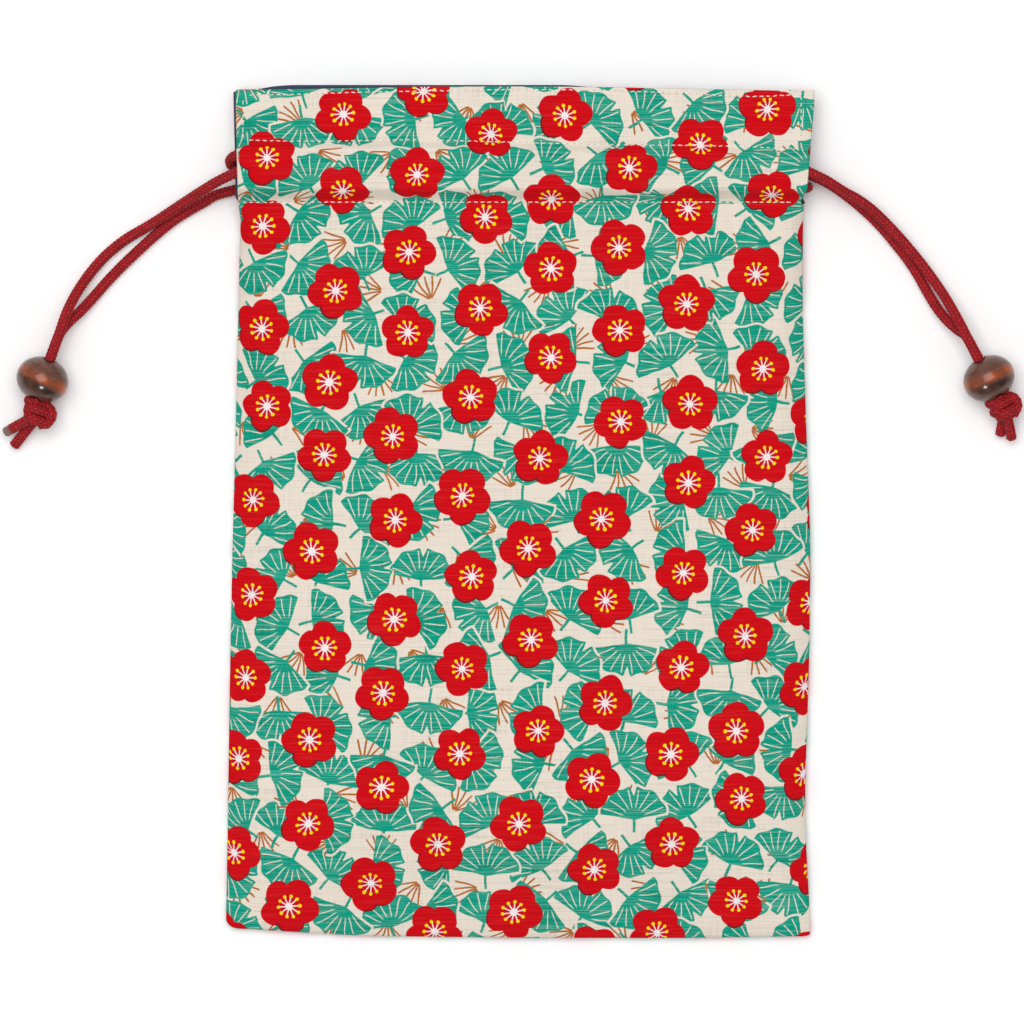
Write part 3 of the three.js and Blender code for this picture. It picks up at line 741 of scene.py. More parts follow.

# %% [markdown]
# ## Laying out one panel
# Each cloth is a grid laid over half the plan, from the middle line to one edge, one
# half on the left and one on the right.
# Columns crowd where the cloth rolls over the edge. Every point also notes where it
# lies on the flat cloth, found by adding up lengths along the grid. The print and the
# weave read that note. A band's side edge is turned under as a hem, and a short table
# gives the steps of that fold, outwards and inwards.

# %% Columns, corners and flat notes
INNER_COLUMNS = 44
RIM_COLUMNS = 12
CROWDING = 0.08
TINY = 1e-9
inner_share = np.linspace(0, 1, INNER_COLUMNS + 1)[:-1]
inner_share = inner_share - CROWDING * np.sin(2 * math.pi * inner_share)


def roll(inside, width):
    """Quarter-round edge: 0 on the edge, 1 from the roll's width inwards."""
    return np.sqrt(np.clip(1 - (1 - np.clip(inside / width, 0, 1)) ** 2, 0, 1))


def edge_marks(width, count):
    """Distances from an edge that are even round its quarter turn, the widest first."""
    return width * (1 - np.cos(np.linspace(math.pi / 2, 0, count + 1)))


def columns_out(half, width):
    """Distances from the middle line, row by row: even columns, then those of the roll."""
    inner = inner_share[None, :] * (half[:, None] - width)
    return np.concatenate([inner, half[:, None] - edge_marks(width, RIM_COLUMNS)], axis=1)


def square_to_round(beside, above, corner):
    """Rounds the panel's bottom corner by pulling the square grid onto a quarter circle."""
    p, q = np.clip(corner - beside, 0, None), np.clip(corner - above, 0, None)
    far = np.maximum(np.hypot(p, q), TINY)
    pull = np.where((p > 0) & (q > 0), np.maximum(p, q) / far, 1)
    return np.where(p > 0, corner - p * pull, beside), np.where(q > 0, corner - q * pull, above)


def flat_notes(points, side):
    """Where each grid point lies on the flat cloth: lengths out from the middle line, and up."""
    out = np.linalg.norm(np.diff(points, axis=1), axis=2)
    out = side * np.pad(np.cumsum(out, axis=1), ((0, 0), (1, 0)))
    up = np.linalg.norm(np.diff(points, axis=0), axis=2)
    up = np.pad(np.cumsum(up, axis=0), ((1, 0), (0, 0)))
    below_row = points[0, 0, 1] < 0
    up = LOWER_ROW + (up - up[-1] if below_row else up)
    return np.stack([out, up, np.zeros_like(up)], axis=-1)


print("columns per half:", INNER_COLUMNS + RIM_COLUMNS + 1)

# %% Half panels below the stitch row
SIDE_ROLL = {True: 8.0, False: 5.0}
CORNER = {-1: 4.0, 1: 1.8}
FLOOR_RIM_ROWS = 10
FIRST_ROW, MOVED_ROWS = 9.0, 30.0
ROW_STEP, FINE_FROM, FINE_TO, FINE_ROWS = 1.7, 208.0, 216.2, 16
SAG_HEIGHT = 60.0
SEAM_LEVEL, SEAM_RISE, SEAM_GAP = 2.4, 1.2, 0.2
SEAM_RISE_ROWS = (40, 84)
SEAM_TUCK, TUCK_WIDTH = 0.5, 0.35
panel_rows = np.arange(FIRST_ROW, FINE_FROM, ROW_STEP)
panel_rows = np.r_[panel_rows, np.linspace(FINE_FROM + 0.5, FINE_TO, FINE_ROWS)]


def body_grid(side, front, inset=0.0, drop=0.0):
    """Half of the front or back panel below the lower stitch row."""
    width = SIDE_ROLL[front]
    floor_rim = edge_marks(width, FLOOR_RIM_ROWS)[:0:-1]
    above = np.r_[floor_rim, panel_rows + (width - FIRST_ROW) * (panel_rows < MOVED_ROWS)]
    above = np.unique(np.round(above, 4))
    rows_y = BOTTOM_EDGE + above
    rows_y[-1] = LOWER_ROW
    half = side_edge(side, front, rows_y) - inset
    x = columns_out(half, width)
    half = half[:, None]
    y = np.broadcast_to(rows_y[:, None], x.shape)
    beside, height = square_to_round(half - x, y - BOTTOM_EDGE, CORNER[side])
    sag = wander(BOTTOM_WANDER, side * x) - BOTTOM_EDGE + inset
    y = BOTTOM_EDGE + height + sag * (1 - ease(0, SAG_HEIGHT, height))
    sewn = 1 - lip_free(y)
    held = (1 - roll(half - x, width) * roll(above[:, None], width)) * sewn
    tuck = SEAM_TUCK * np.clip(1 - np.minimum(beside, height) / TUCK_WIDTH, 0, 1) * sewn
    share = np.clip(x / half, 0, 1)
    level = FACE_LEVEL[front](side * x, y, share) - OUTWARD[front] * drop
    seam = SEAM_LEVEL + SEAM_RISE * ease(*SEAM_RISE_ROWS, y) + OUTWARD[front] * SEAM_GAP
    level = level + (seam - level) * held
    return np.stack([side * np.maximum(half - beside - tuck, 0), y, level], axis=-1)


print("rows and columns of a half panel:", body_grid(1, True).shape[:2])

# %% Half bands above it
BAND_ROWS = 69
LIP_OPEN = 93.0
TOP_ROLL, TOP_ROLL_DEPTH = 0.6, 0.4
HEM_FOLD = np.array([
    (-0.1, 0.03), (0.1, 0.2), (0.18, 0.5), (0.1, 0.8),
    (-0.3, 0.96), (-2.0, 1.0), (-4.5, 1.0), (-7.5, 1.0),
])


def band_grid(side, front, out=0.0, fold=True):
    """Half of the band above the lower stitch row, with its turned side hem."""
    rows_y = np.linspace(LOWER_ROW, TOP_EDGE, BAND_ROWS)
    half = side_edge(side, front, rows_y) + out * ease(LOWER_ROW, LIP_OPEN, rows_y)
    x = columns_out(half, SIDE_ROLL[True])
    half = half[:, None]
    depth = np.zeros(x.shape[1])
    if fold:
        x = np.concatenate([x, half + HEM_FOLD[:, 0]], axis=1)
        depth = np.r_[depth, HEM_FOLD[:, 1]]
    y = np.broadcast_to(rows_y[:, None], x.shape)
    share = np.clip(x / half, 0, 1)
    depth = depth + TOP_ROLL_DEPTH * (1 - roll(TOP_EDGE - y, TOP_ROLL))
    level = FACE_LEVEL[front](side * np.minimum(x, half), y, share) - OUTWARD[front] * depth
    y = y + TOP_DROOP[front](side * x) * droop_share(y)
    return np.stack([side * x, y, level], axis=-1)


print("rows and columns of a half band:", band_grid(1, True).shape[:2])

# %% [markdown]
# ## Front and back cloth
# The panels and the bands meet along the lower stitch row. A solidify modifier gives
# the cloth its thickness on the inner side. The rim's edges are marked sharp, so that
# the two halves are shaded as one cloth where they meet on the middle line.

# %% Cut and place the cloth
HAND = {-1: "left", 1: "right"}
WORD = {True: "front", False: "back"}


def follow_mouth(piece):
    """Bakes a piece's place into its points."""
    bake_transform(piece)


def make_cloth(name, points, side, front, thickness, print_shift=(0, 0, 0)):
    """A grid of cloth as a piece, with its rim edges sharp and a thickness."""
    notes = flat_notes(points, side) * (OUTWARD[front], 1, 1) + print_shift
    faces = flipped(grid_faces(*points.shape[:2]), (side > 0) != front)
    piece = make_piece(name, points.reshape(-1, 3), faces, {"cloth": notes.reshape(-1, 3)})
    edge_of_corner = np.empty(len(piece.data.loops), np.int32)
    piece.data.loops.foreach_get("edge_index", edge_of_corner)
    rim = np.bincount(edge_of_corner, minlength=len(piece.data.edges)) == 1
    piece.data.attributes.new("sharp_edge", "BOOLEAN", "EDGE").data.foreach_set("value", rim)
    solid = piece.modifiers.new("thickness", "SOLIDIFY")
    solid.thickness = thickness * MM
    solid.offset = -1
    follow_mouth(piece)
    return piece


# %% The printed cloth
CLOTH = 0.45
PRINT_SHIFT = {True: (0, 0, 0), False: (411, 287, 0)}
BAND_OUT = {True: {-1: 0.0, 1: 0.0}, False: {-1: 0.75, 1: -0.9}}
CLOTH_CUTS = {
    "front_cloth": ((0.091, 0.224), "stretched"),
    "front_band": ((0.094, 0.037), "folded"),
    "back_cloth": ((0.088, 0.220), "laid"),
    "back_band": ((0.093, 0.035), "folded"),
}
cotton_pieces = []

for side, hand in HAND.items():
    for front, word in WORD.items():
        seams = (f"{hand}_side_seam", "bottom_seam") if front else ()
        band = band_grid(side, front, out=BAND_OUT[front][side])
        for part, points, nodes, under in (
            ("cloth", body_grid(side, front), (f"{word}_panel", *seams), "lining"),
            ("band", band, (f"{word}_channel", f"{word}_{hand}_hem"), "channel_lining"),
        ):
            name = f"{word}_{part}"
            piece = make_cloth(f"{name}_{hand}", points, side, front, CLOTH, PRINT_SHIFT[front])
            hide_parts(*nodes)
            flat, held = CLOTH_CUTS[name]
            cotton_pieces.append(piece)
print("cotton pieces:", len(cotton_pieces))

# %% [markdown]
# ## Lining
# A navy lining of thinner cotton lies inside the whole pouch and reaches the top edge.
# It also makes the inner wall of both channels, so it stays flat under the front cords
# and humps over the back ones. It shows in the slits and as a thin dark line where the
# back stands higher than the front, so its edges are set almost flush with the cloth.

# %% Lining sheets
LINING = 0.3
LINING_INSET = 0.9
LINING_DROP = {True: 0.75, False: 1.3}
FACING_OUT = {True: {-1: -0.15, 1: -0.15}, False: {-1: 1.05, 1: -1.05}}
FRONT_WALL, WALL_FULL = 9.75, 95.0
HEADER_GAP, HEADER_RISE = 0.2, 2.4
BACK_WALL, BACK_HUMP = 1.75, 2.7
HUMP_ROWS = (93.4, 103.6)
WALL_WAVES = {True: 0.4, False: 0.3}
LINING_FLAT, FACING_FLAT = (0.088, 0.222), (0.085, 0.036)
lining_pieces = []


def lining_band(side, front):
    """The channel's inner wall and the header's facing."""
    points = band_grid(side, front, out=FACING_OUT[front][side], fold=False)
    x, y = points[..., 0], points[..., 1]
    share = np.clip(np.abs(x) / np.abs(x[:, -1:]), 0, 1)
    waves = WALL_WAVES[front] * ripples(x, y) * calm(share)
    if front:
        level = front_level(x, LOWER_ROW, share) - LINING_DROP[True]
        level = level + (FRONT_WALL + waves - level) * ease(LOWER_ROW, WALL_FULL, y)
        header = front_level(x, y, share) - CLOTH - HEADER_GAP
        row = wander(UPPER_STITCHES, x)
        level = level + (header - level) * ease(row - HEADER_RISE, row, y)
    else:
        hump = ease(LOWER_ROW, HUMP_ROWS[0], y) * (1 - ease(HUMP_ROWS[1], UPPER_ROW, y))
        level = BACK_WALL + BACK_HUMP * hump + waves
    points[..., 2] = level
    return points


for side, hand in HAND.items():
    for front, word in WORD.items():
        inside = body_grid(side, front, inset=LINING_INSET, drop=LINING_DROP[front])
        for part, points, node, flat in (
            ("lining", inside, f"{word}_lining", LINING_FLAT),
            ("facing", lining_band(side, front), f"{word}_channel_lining", FACING_FLAT),
        ):
            piece = make_cloth(f"{word}_{part}_{hand}", points, side, front, LINING)
            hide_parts(node)
            lining_pieces.append(piece)
print("lining pieces:", len(lining_pieces))

# %% [markdown]
# ## Topstitching
# Cream thread holds the channel and the header: a row along the top edge, one down each
# side of the header and the two rows of the channel. Each stitch is a short soft capsule
# that dives into the cloth at its ends, and each needle hole is a tiny dark pit. They
# are real pieces, a stitch every two millimetres.

# %% Where the rows run
ROW_REACH = {-1: 81.4, 1: 82.6}
ROW_POINTS = 18
ROW_MARGIN = 0.6
BACK_TOP_ROW = 123.0


def stitch_rows(side, front):
    """Sewn lines of one half as plan points, counted outwards from the middle."""
    reach = ROW_REACH[side]
    lower = [(0, LOWER_ROW), (float(side_edge(side, front, LOWER_ROW)) - ROW_MARGIN, LOWER_ROW)]
    if not front:
        return [lower, *([(0, row), (reach, row)] for row in (UPPER_ROW, BACK_TOP_ROW))]
    across = np.linspace(0, reach, ROW_POINTS)
    upper = list(zip(across, wander(UPPER_STITCHES, side * across)))
    top = list(zip(across, wander(TOP_STITCHES, side * across)))
    return [lower, upper, top, [upper[-1], top[-1]]]


def cloth_face(side, front, x, y):
    """Level of a band's outer face at plan points of one half."""
    share = np.minimum(np.abs(x) / wander(EDGE_WANDER[side], y), 1)
    if front:
        y = y - front_top(x) * droop_share(y)
    return FACE_LEVEL[front](x, y, share)


print("rows on a front and a back half:", [len(stitch_rows(1, front)) for front in WORD])

# %% One stitch and one needle hole
THREAD_RADIUS, THREAD_END = 0.17, 0.55
THREAD_ARCH, THREAD_SINK = 0.26, 0.18
HOLE_RADIUS, HOLE_LIFT, HOLE_DEPTH = 0.13, 0.06, 0.2
AROUND, BENDS = 7, 7

angles = 2 * math.pi * np.arange(AROUND) / AROUND
stitch_faces = grid_faces(BENDS, AROUND, loop=True)
stitch_faces.append(list(range(AROUND))[::-1])
stitch_faces.append(list(range((BENDS - 1) * AROUND, BENDS * AROUND)))
hole_faces = [list(range(AROUND))]
hole_faces += [[(corner + 1) % AROUND, corner, AROUND] for corner in range(AROUND)]


def stitch_points(side, front, foot, tip, sway):
    """A soft capsule from foot to tip that arches out of the cloth."""
    ahead = (tip - foot) / np.linalg.norm(tip - foot)
    beside = np.array([-ahead[1], ahead[0]])
    share = np.linspace(0, 1, BENDS)
    lie = foot + np.outer(share, tip - foot) + np.outer(2 * sway * (2 * share - 1), beside)
    arch = np.sqrt(np.sin(math.pi * share))
    level = cloth_face(side, front, side * lie[:, 0], lie[:, 1])
    level = level + OUTWARD[front] * (THREAD_ARCH * arch - THREAD_SINK)
    thick = THREAD_RADIUS * (THREAD_END + (1 - THREAD_END) * arch)
    plan = lie[:, None] + np.outer(thick, np.cos(angles))[..., None] * beside
    heights = level[:, None] + np.outer(thick, np.sin(angles))
    return np.stack([side * plan[..., 0], plan[..., 1], heights], axis=-1).reshape(-1, 3)


def hole_points(side, front, spot):
    """A ring just above the cloth and a point below it."""
    level = cloth_face(side, front, side * spot[0], spot[1])
    ring = spot + HOLE_RADIUS * np.column_stack([np.cos(angles), np.sin(angles)])
    plan = np.vstack([ring, spot]) * (side, 1)
    heights = np.r_[np.full(AROUND, HOLE_LIFT), -HOLE_DEPTH]
    return np.column_stack([plan, level + OUTWARD[front] * heights])


print("faces of a stitch and of a hole:", len(stitch_faces), len(hole_faces))

# %% Sew the rows
STITCH = 2.0
STITCH_START, STITCH_SPAN, SPAN_CHANGE = 0.14, 0.72, 0.06
SWAY = 0.07
SWAY_BEAT, SPAN_BEAT = 2.4, 1.7
thread_pieces, hole_pieces = [], []


def sew(side, front):
    """Stitches and needle holes along all rows of one half."""
    stitches, holes = [], []
    for row in stitch_rows(side, front):
        spots = np.array(row, float)
        marks = np.r_[0, np.cumsum(np.hypot(*np.diff(spots, axis=0).T))]
        for number in range(int(marks[-1] / STITCH)):
            start = STITCH * (number + STITCH_START)
            sway = SWAY * math.sin(number * SWAY_BEAT + marks[-1])
            length = STITCH * (STITCH_SPAN + SPAN_CHANGE * math.sin(number * SPAN_BEAT))
            foot, tip = (
                np.array([np.interp(mark, marks, spots[:, axis]) for axis in (0, 1)])
                for mark in (start, start + length)
            )
            ahead = (tip - foot) / np.linalg.norm(tip - foot)
            stitches.append((stitch_points(side, front, foot, tip, sway), stitch_faces))
            hole = foot - ahead * STITCH * STITCH_START
            holes.append((hole_points(side, front, hole), hole_faces))
    return stitches, holes


for side, hand in HAND.items():
    for front, word in WORD.items():
        stitches, holes = sew(side, front)
        points, faces = join_meshes(stitches)
        thread = make_piece(f"{word}_thread_{hand}", points, flipped(faces, side < 0))
        points, faces = join_meshes(holes)
        faces = flipped(faces, (side < 0) == front)
        pits = make_piece(f"{word}_needle_holes_{hand}", points, faces)
        for piece in (thread, pits):
            follow_mouth(piece)
        thread_pieces.append(thread)
        hole_pieces.append(pits)
        print(thread.name, "stitches:", len(stitches))

# %% [markdown]
# ## Floor and light
# The picture is a studio flat lay on white. The floor is a plain pale sheet. A wide
# softbox overhead and an even white surround light it so that a colour renders about
# as it is written. A small lamp low on the near side, which only glossy surfaces see,
# gives the beads their spark. Places, sizes and powers here are in metres and watts.

# %% Floor, lamps and surround
FLOOR_HALF = 4.0
LAMPS = {
    "wide_softbox": ((-0.2, 0.4, 2.4), 1.9, 43),
    "small_lamp": ((-0.3, -1.3, 1.25), 0.4, 12.0),
}
SURROUND_STRENGTH = 0.45

floor_mesh = bpy.data.meshes.new("floor")
corners = [(-1, -1, 0), (1, -1, 0), (1, 1, 0), (-1, 1, 0)]
floor_mesh.from_pydata([Vector(c) * FLOOR_HALF for c in corners], [], [(0, 1, 2, 3)])
floor = bpy.data.objects.new("floor", floor_mesh)
scene.collection.objects.link(floor)

for name, (place, size, power) in LAMPS.items():
    lamp_data = bpy.data.lights.new(name, "AREA")
    lamp_data.size = size
    lamp_data.energy = power
    lamp = bpy.data.objects.new(name, lamp_data)
    lamp.location = place
    lamp.rotation_euler = (-Vector(place)).to_track_quat("-Z", "Y").to_euler()
    lamp.visible_diffuse = name != "small_lamp"
    scene.collection.objects.link(lamp)

surround = bpy.data.worlds.new("surround")
surround.use_nodes = True
sky = surround.node_tree.nodes["Background"]
sky.inputs["Color"].default_value = (1, 1, 1, 1)
sky.inputs["Strength"].default_value = SURROUND_STRENGTH
scene.world = surround
scene.view_settings.view_transform = "Standard"
print("lamps:", len(LAMPS))

# %% [markdown]
# ## Shader sums in Python
# Materials here are arithmetic on the flat cloth's millimetres. Writing each Math node
# by hand hides the sums, so one small class stands for a socket and adds a Math node
# for every operator. Colours go through its mix, and any other node through its node.

# %% The socket class
def math_method(operation, reflected=False):
    """A method that adds one Math node."""
    def method(self, *others):
        values = (*others, self) if reflected else (self, *others)
        return self.node("ShaderNodeMath", {"operation": operation}, dict(enumerate(values)))
    return method


class Dye:
    """A node socket that can be used in Python sums."""

    __add__ = math_method("ADD")
    __radd__ = math_method("ADD", reflected=True)
    __sub__ = math_method("SUBTRACT")
    __rsub__ = math_method("SUBTRACT", reflected=True)
    __mul__ = math_method("MULTIPLY")
    __rmul__ = math_method("MULTIPLY", reflected=True)
    __truediv__ = math_method("DIVIDE")
    __abs__ = math_method("ABSOLUTE")
    floor = math_method("FLOOR")
    fraction = math_method("FRACT")
    cos = math_method("COSINE")
    sin = math_method("SINE")
    root = math_method("SQRT")
    least = math_method("MINIMUM")
    most = math_method("MAXIMUM")
    bearing = math_method("ARCTAN2")

    def __init__(self, tree, socket=None):
        self.tree = tree
        self.socket = socket

    def node(self, kind, settings=None, inputs=None, output=0):
        """Any node: its settings first, then the values or links of its sockets."""
        made = self.tree.nodes.new(kind)
        for name, value in (settings or {}).items():
            setattr(made, name, value)
        for key, value in (inputs or {}).items():
            if isinstance(value, Dye):
                self.tree.links.new(value.socket, made.inputs[key])
            else:
                made.inputs[key].default_value = value
        return Dye(self.tree, made.outputs[output])

    def length(self, other):
        return (self * self + other * other).root()

    def step(self, low, high):
        """0 below low, 1 above high, and a soft step between."""
        inputs = {"Value": self, "From Min": low, "From Max": high}
        return self.node("ShaderNodeMapRange", {"interpolation_type": "SMOOTHSTEP"}, inputs)

    def mix(self, first, second):
        """The first colour where this is 0 and the second where it is 1."""
        settings = {"data_type": "RGBA", "clamp_factor": True}
        return self.node("ShaderNodeMix", settings, {0: self, 6: first, 7: second}, 2)

    def parts(self):
        """The three numbers of a vector or colour."""
        split = self.node("ShaderNodeSeparateXYZ", None, {0: self})
        return [Dye(self.tree, out) for out in split.socket.node.outputs]

    def vector(self, x, y, z=0.0):
        return self.node("ShaderNodeCombineXYZ", None, {0: x, 1: y, 2: z})

    def noise(self, scale, detail=2.0, output=0):
        inputs = {"Vector": self, "Scale": scale, "Detail": detail}
        return self.node("ShaderNodeTexNoise", None, inputs, output)

    def bump(self, strength, depth):
        """A normal that stands this height out of the surface, by a depth in millimetres."""
        inputs = {"Strength": strength, "Distance": depth * MM, "Height": self}
        return self.node("ShaderNodeBump", None, inputs)

    def note(self, label):
        """A note that a piece keeps on its points."""
        return self.node("ShaderNodeAttribute", {"attribute_name": label}, None, "Vector")

    def place(self):
        """Where a point lies in its own piece, in metres."""
        return self.node("ShaderNodeTexCoord", None, None, "Object")


print("sums a socket knows:", sum(callable(value) for value in vars(Dye).values()))

# %% Paint, finishes and wiring
def paint(red, green, blue):
    """A screen colour, 0 to 255, as the linear colour that a shader takes."""
    shares = [value / 255 for value in (red, green, blue)]
    linear = [s / 12.92 if s <= 0.04045 else ((s + 0.055) / 1.055) ** 2.4 for s in shares]
    return (*linear, 1.0)


def new_finish(name):
    """An empty principled material, its shader and a Dye to start sums from."""
    finish = bpy.data.materials.new(name)
    finish.use_nodes = True
    return finish, finish.node_tree.nodes["Principled BSDF"], Dye(finish.node_tree)


def wire(shader, sockets):
    """Links sums to a shader's sockets, and sets plain numbers on the others."""
    for socket, value in sockets.items():
        if isinstance(value, Dye):
            value.tree.links.new(value.socket, shader.inputs[socket])
        else:
            shader.inputs[socket].default_value = value


def dress(pieces, finish):
    for piece in pieces:
        piece.data.materials.clear()
        piece.data.materials.append(finish)


print("middle grey, linear:", round(paint(128, 128, 128)[0], 3))

# %% [markdown]
# ## Slub cotton weave
# The cloth is a plain weave whose weft yarns are thick and thin by turns. The thick
# places lie across the pouch as short raised streaks where the ink takes less well.
# Two stretched noises make them, one for every yarn and one for the slubs, and another
# one stands for the warp. Each table gives a noise's cells per millimetre, across and
# up. The same sums serve the print and the plain navy lining.

# %% Weave
WEFT_CELLS = (0.06, 3.0)
SLUB_CELLS = (0.1, 1.9)
WARP_CELLS = (2.6, 0.1)


def flat_cloth(start):
    """The flat cloth's vector, its millimetres across and up."""
    flat = start.note("cloth")
    across, up, _ = flat.parts()
    return flat, across, up


def yarn_noise(across, up, cells, seed, detail):
    """Noise that is stretched along a yarn."""
    return across.vector(across * cells[0], up * cells[1], seed).noise(1.0, detail)


def slub_weave(across, up):
    """Weft yarn, slub streak and warp yarn, each about 0 to 1."""
    weft = yarn_noise(across, up, WEFT_CELLS, seed=0.0, detail=2.0)
    slub = yarn_noise(across, up, SLUB_CELLS, seed=7.0, detail=2.0)
    warp = yarn_noise(across, up, WARP_CELLS, seed=3.0, detail=1.0)
    return weft, slub.step(0.58, 0.72), warp


print("weft and warp, noise cells per mm:", WEFT_CELLS[1], WARP_CELLS[0])

# %% [markdown]
# ## Printed pattern
# The print is a generic one in the object's colours: five-petalled plum blossoms, open
# fan leaves with pale veins and small sprigs of needles, all old textile motifs. Each
# kind sits on its own tilted lattice. A dice roll for every cell shifts and turns the
# motif but keeps it inside its cell, so a point only ever has to look at one motif.

# %% Lattice
def lattice(start, across, up, pitch, tilt, seed, stray, shift=0.0, stagger=0.0):
    """Place about the motif of a point's own cell, its turn and a spare dice roll."""
    c, s = math.cos(tilt) / pitch, math.sin(tilt) / pitch
    row_place = up * c - across * s + shift
    row = row_place.floor()
    column_place = across * c + up * s + (row * stagger + shift)
    column = column_place.floor()
    cell = start.vector(column, row, seed)
    settings = {"noise_dimensions": "3D"}
    dice = start.node("ShaderNodeTexWhiteNoise", settings, {"Vector": cell}, "Color")
    first, second, third = dice.parts()
    x = (column_place - column - 0.5) * pitch + (first - 0.5) * (2 * stray)
    y = (row_place - row - 0.5) * pitch + (second - 0.5) * (2 * stray)
    return x, y, third * (2 * math.pi), first


def turned(x, y, spin, foot):
    """The place seen from a turned motif's foot: aside, ahead, how far and which way."""
    c, s = spin.cos(), spin.sin()
    side = x * c + y * s
    ahead = y * c - x * s + foot
    return side, ahead, side.length(ahead), side.bearing(ahead)


print("each cell rolls three dice: two places and a turn")

# %% Blossoms
BLOSSOM_PITCH, BLOSSOM_REACH, BLOSSOM_GROWTH = 23.6, 7.9, 0.9
PETALS, PETAL_OUT, PETAL_ROUND, DISC = 5, 0.53, 0.47, 0.5
ANTHERS_OUT = 3.1
SHADED_SIDE = (-0.8, -0.6)


def blossom(start, across, up):
    """Distance inside a five-petalled blossom, its shaded side, stamens and anthers."""
    x, y, spin, size = lattice(
        start, across, up, BLOSSOM_PITCH, tilt=0.41, seed=3.0, stray=3.0, stagger=0.5
    )
    far = x.length(y)
    petal_turn = 2 * math.pi / PETALS
    turn = y.bearing(x) + spin
    angle = ((turn / petal_turn).fraction() - 0.5) * petal_turn
    reach = size * BLOSSOM_GROWTH + BLOSSOM_REACH
    petal = (far * angle.cos() - reach * PETAL_OUT).length(far * angle.sin())
    inside = (reach * PETAL_ROUND - petal).most(reach * DISC - far)
    stamen_turn = petal_turn / 2
    arc = ((turn / stamen_turn).fraction() - 0.5) * stamen_turn * far
    stalk = (1 - abs(arc).step(0.1, 0.24)) * (1 - far.step(2.6, 2.9))
    anther = 1 - arc.length(far - ANTHERS_OUT).step(0.42, 0.58)
    heart = 1 - far.step(0.95, 1.15)
    lean = (x * SHADED_SIDE[0] + y * SHADED_SIDE[1]) / (far + 0.01)
    return inside, lean, stalk.most(heart), anther


print("blossoms, mm apart and across:", BLOSSOM_PITCH, 2 * BLOSSOM_REACH)

# %% Fan leaves
LEAF_PITCH, LEAF_REACH, LEAF_FOOT = 20.8, 9.8, 0.4
LEAF_SPREAD, LEAF_NOTCH, NOTCH_TURN = 1.42, 0.3, 0.13
RIM_WAVES, RIM_DEPTH = 10.0, 0.3
STALK_HALF, STALK_LONG, STALK_BELOW = 0.4, 2.4, 1.6
VEINS_PER_RADIAN, VEIN_STARTS = 2.9, (0.3, 0.42)


def fan_leaf(start, across, up, seed, shift):
    """Distance inside a fan leaf, inside its stalk, and its pale veins."""
    x, y, spin, _ = lattice(
        start, across, up, LEAF_PITCH, tilt=0.83, seed=seed, stray=0.4, shift=shift
    )
    side, ahead, far, angle = turned(x, y, spin, LEAF_REACH * LEAF_FOOT)
    open_by = abs(angle)
    notch = (1 - open_by.step(0.0, NOTCH_TURN)) * (LEAF_REACH * LEAF_NOTCH)
    rim = LEAF_REACH - notch + (angle * RIM_WAVES).cos() * RIM_DEPTH
    inside = (rim - far).least((LEAF_SPREAD - open_by) * far)
    stalk = (STALK_HALF - abs(side)).least(STALK_LONG - abs(ahead + STALK_BELOW))
    rib = abs((angle * VEINS_PER_RADIAN).fraction() - 0.5) * far / VEINS_PER_RADIAN
    veins = (1 - rib.step(0.08, 0.22)) * far.step(*(LEAF_REACH * part for part in VEIN_STARTS))
    return inside, stalk, veins * inside.step(0.5, 0.9)


print("leaves, mm apart and long:", LEAF_PITCH, LEAF_REACH)

# %% Sprigs of needles
SPRIG_PITCH, SPRIG_REACH, SPRIG_FOOT = 15.2, 7.0, 3.4
SPRIG_SPREAD = (0.8, 0.86)
NEEDLES_PER_RADIAN = 3.0


def needles(start, across, up):
    """A sprig of needles: a few strokes that spread from one foot."""
    x, y, spin, _ = lattice(
        start, across, up, SPRIG_PITCH, tilt=1.1, seed=21.0, stray=0.8, stagger=0.5
    )
    _, _, far, angle = turned(x, y, spin, SPRIG_FOOT)
    stroke = abs((angle * NEEDLES_PER_RADIAN + 0.5).fraction() - 0.5) * far
    stroke = stroke / NEEDLES_PER_RADIAN
    spread = (1 - abs(angle).step(*SPRIG_SPREAD)) * far.step(0.5, 0.9)
    spread = spread * (1 - far.step(SPRIG_REACH, SPRIG_REACH + 0.5))
    return (1 - stroke.step(0.2, 0.34)) * spread


print("sprigs, mm apart and long:", SPRIG_PITCH, SPRIG_REACH)

# %% [markdown]
# ## Printing the cotton
# A printer lays one ink after another on cloth that never lies quite straight. So the
# print drifts a little, each motif becomes a mask, and the inks are mixed in turn over
# the cream ground: sprigs, leaves, veins, blossoms, and a dark rim where a blossom
# overlaps a leaf. Thick yarns then skip some ink, and the gaps between yarns get
# painted shade, most of all in the leaves. Painting an image would be quicker to do, but
# sums stay sharp at any distance and need no file.

# %% Place the motifs on the cotton
DRIFT, DRIFT_SCALE = 1.4, 0.14
INK_EDGE = 0.1
HALO = (-0.8, -0.6)
OVERLAP_THIN, OVERLAP_THICK = 0.2, 0.7


def inked(*distances):
    """1 inside any of these shapes, with an edge as soft as ink on cotton."""
    nearest = distances[0]
    for distance in distances[1:]:
        nearest = nearest.most(distance)
    return nearest.step(-INK_EDGE, INK_EDGE)


cotton, cotton_shader, start = new_finish("printed_slub_cotton")
flat, across, up = flat_cloth(start)
weft, slub, warp = slub_weave(across, up)
drift_x, drift_y, _ = flat.noise(DRIFT_SCALE, 1.0, "Color").parts()
print_x = across + (drift_x - 0.5) * DRIFT
print_y = up + (drift_y - 0.5) * DRIFT

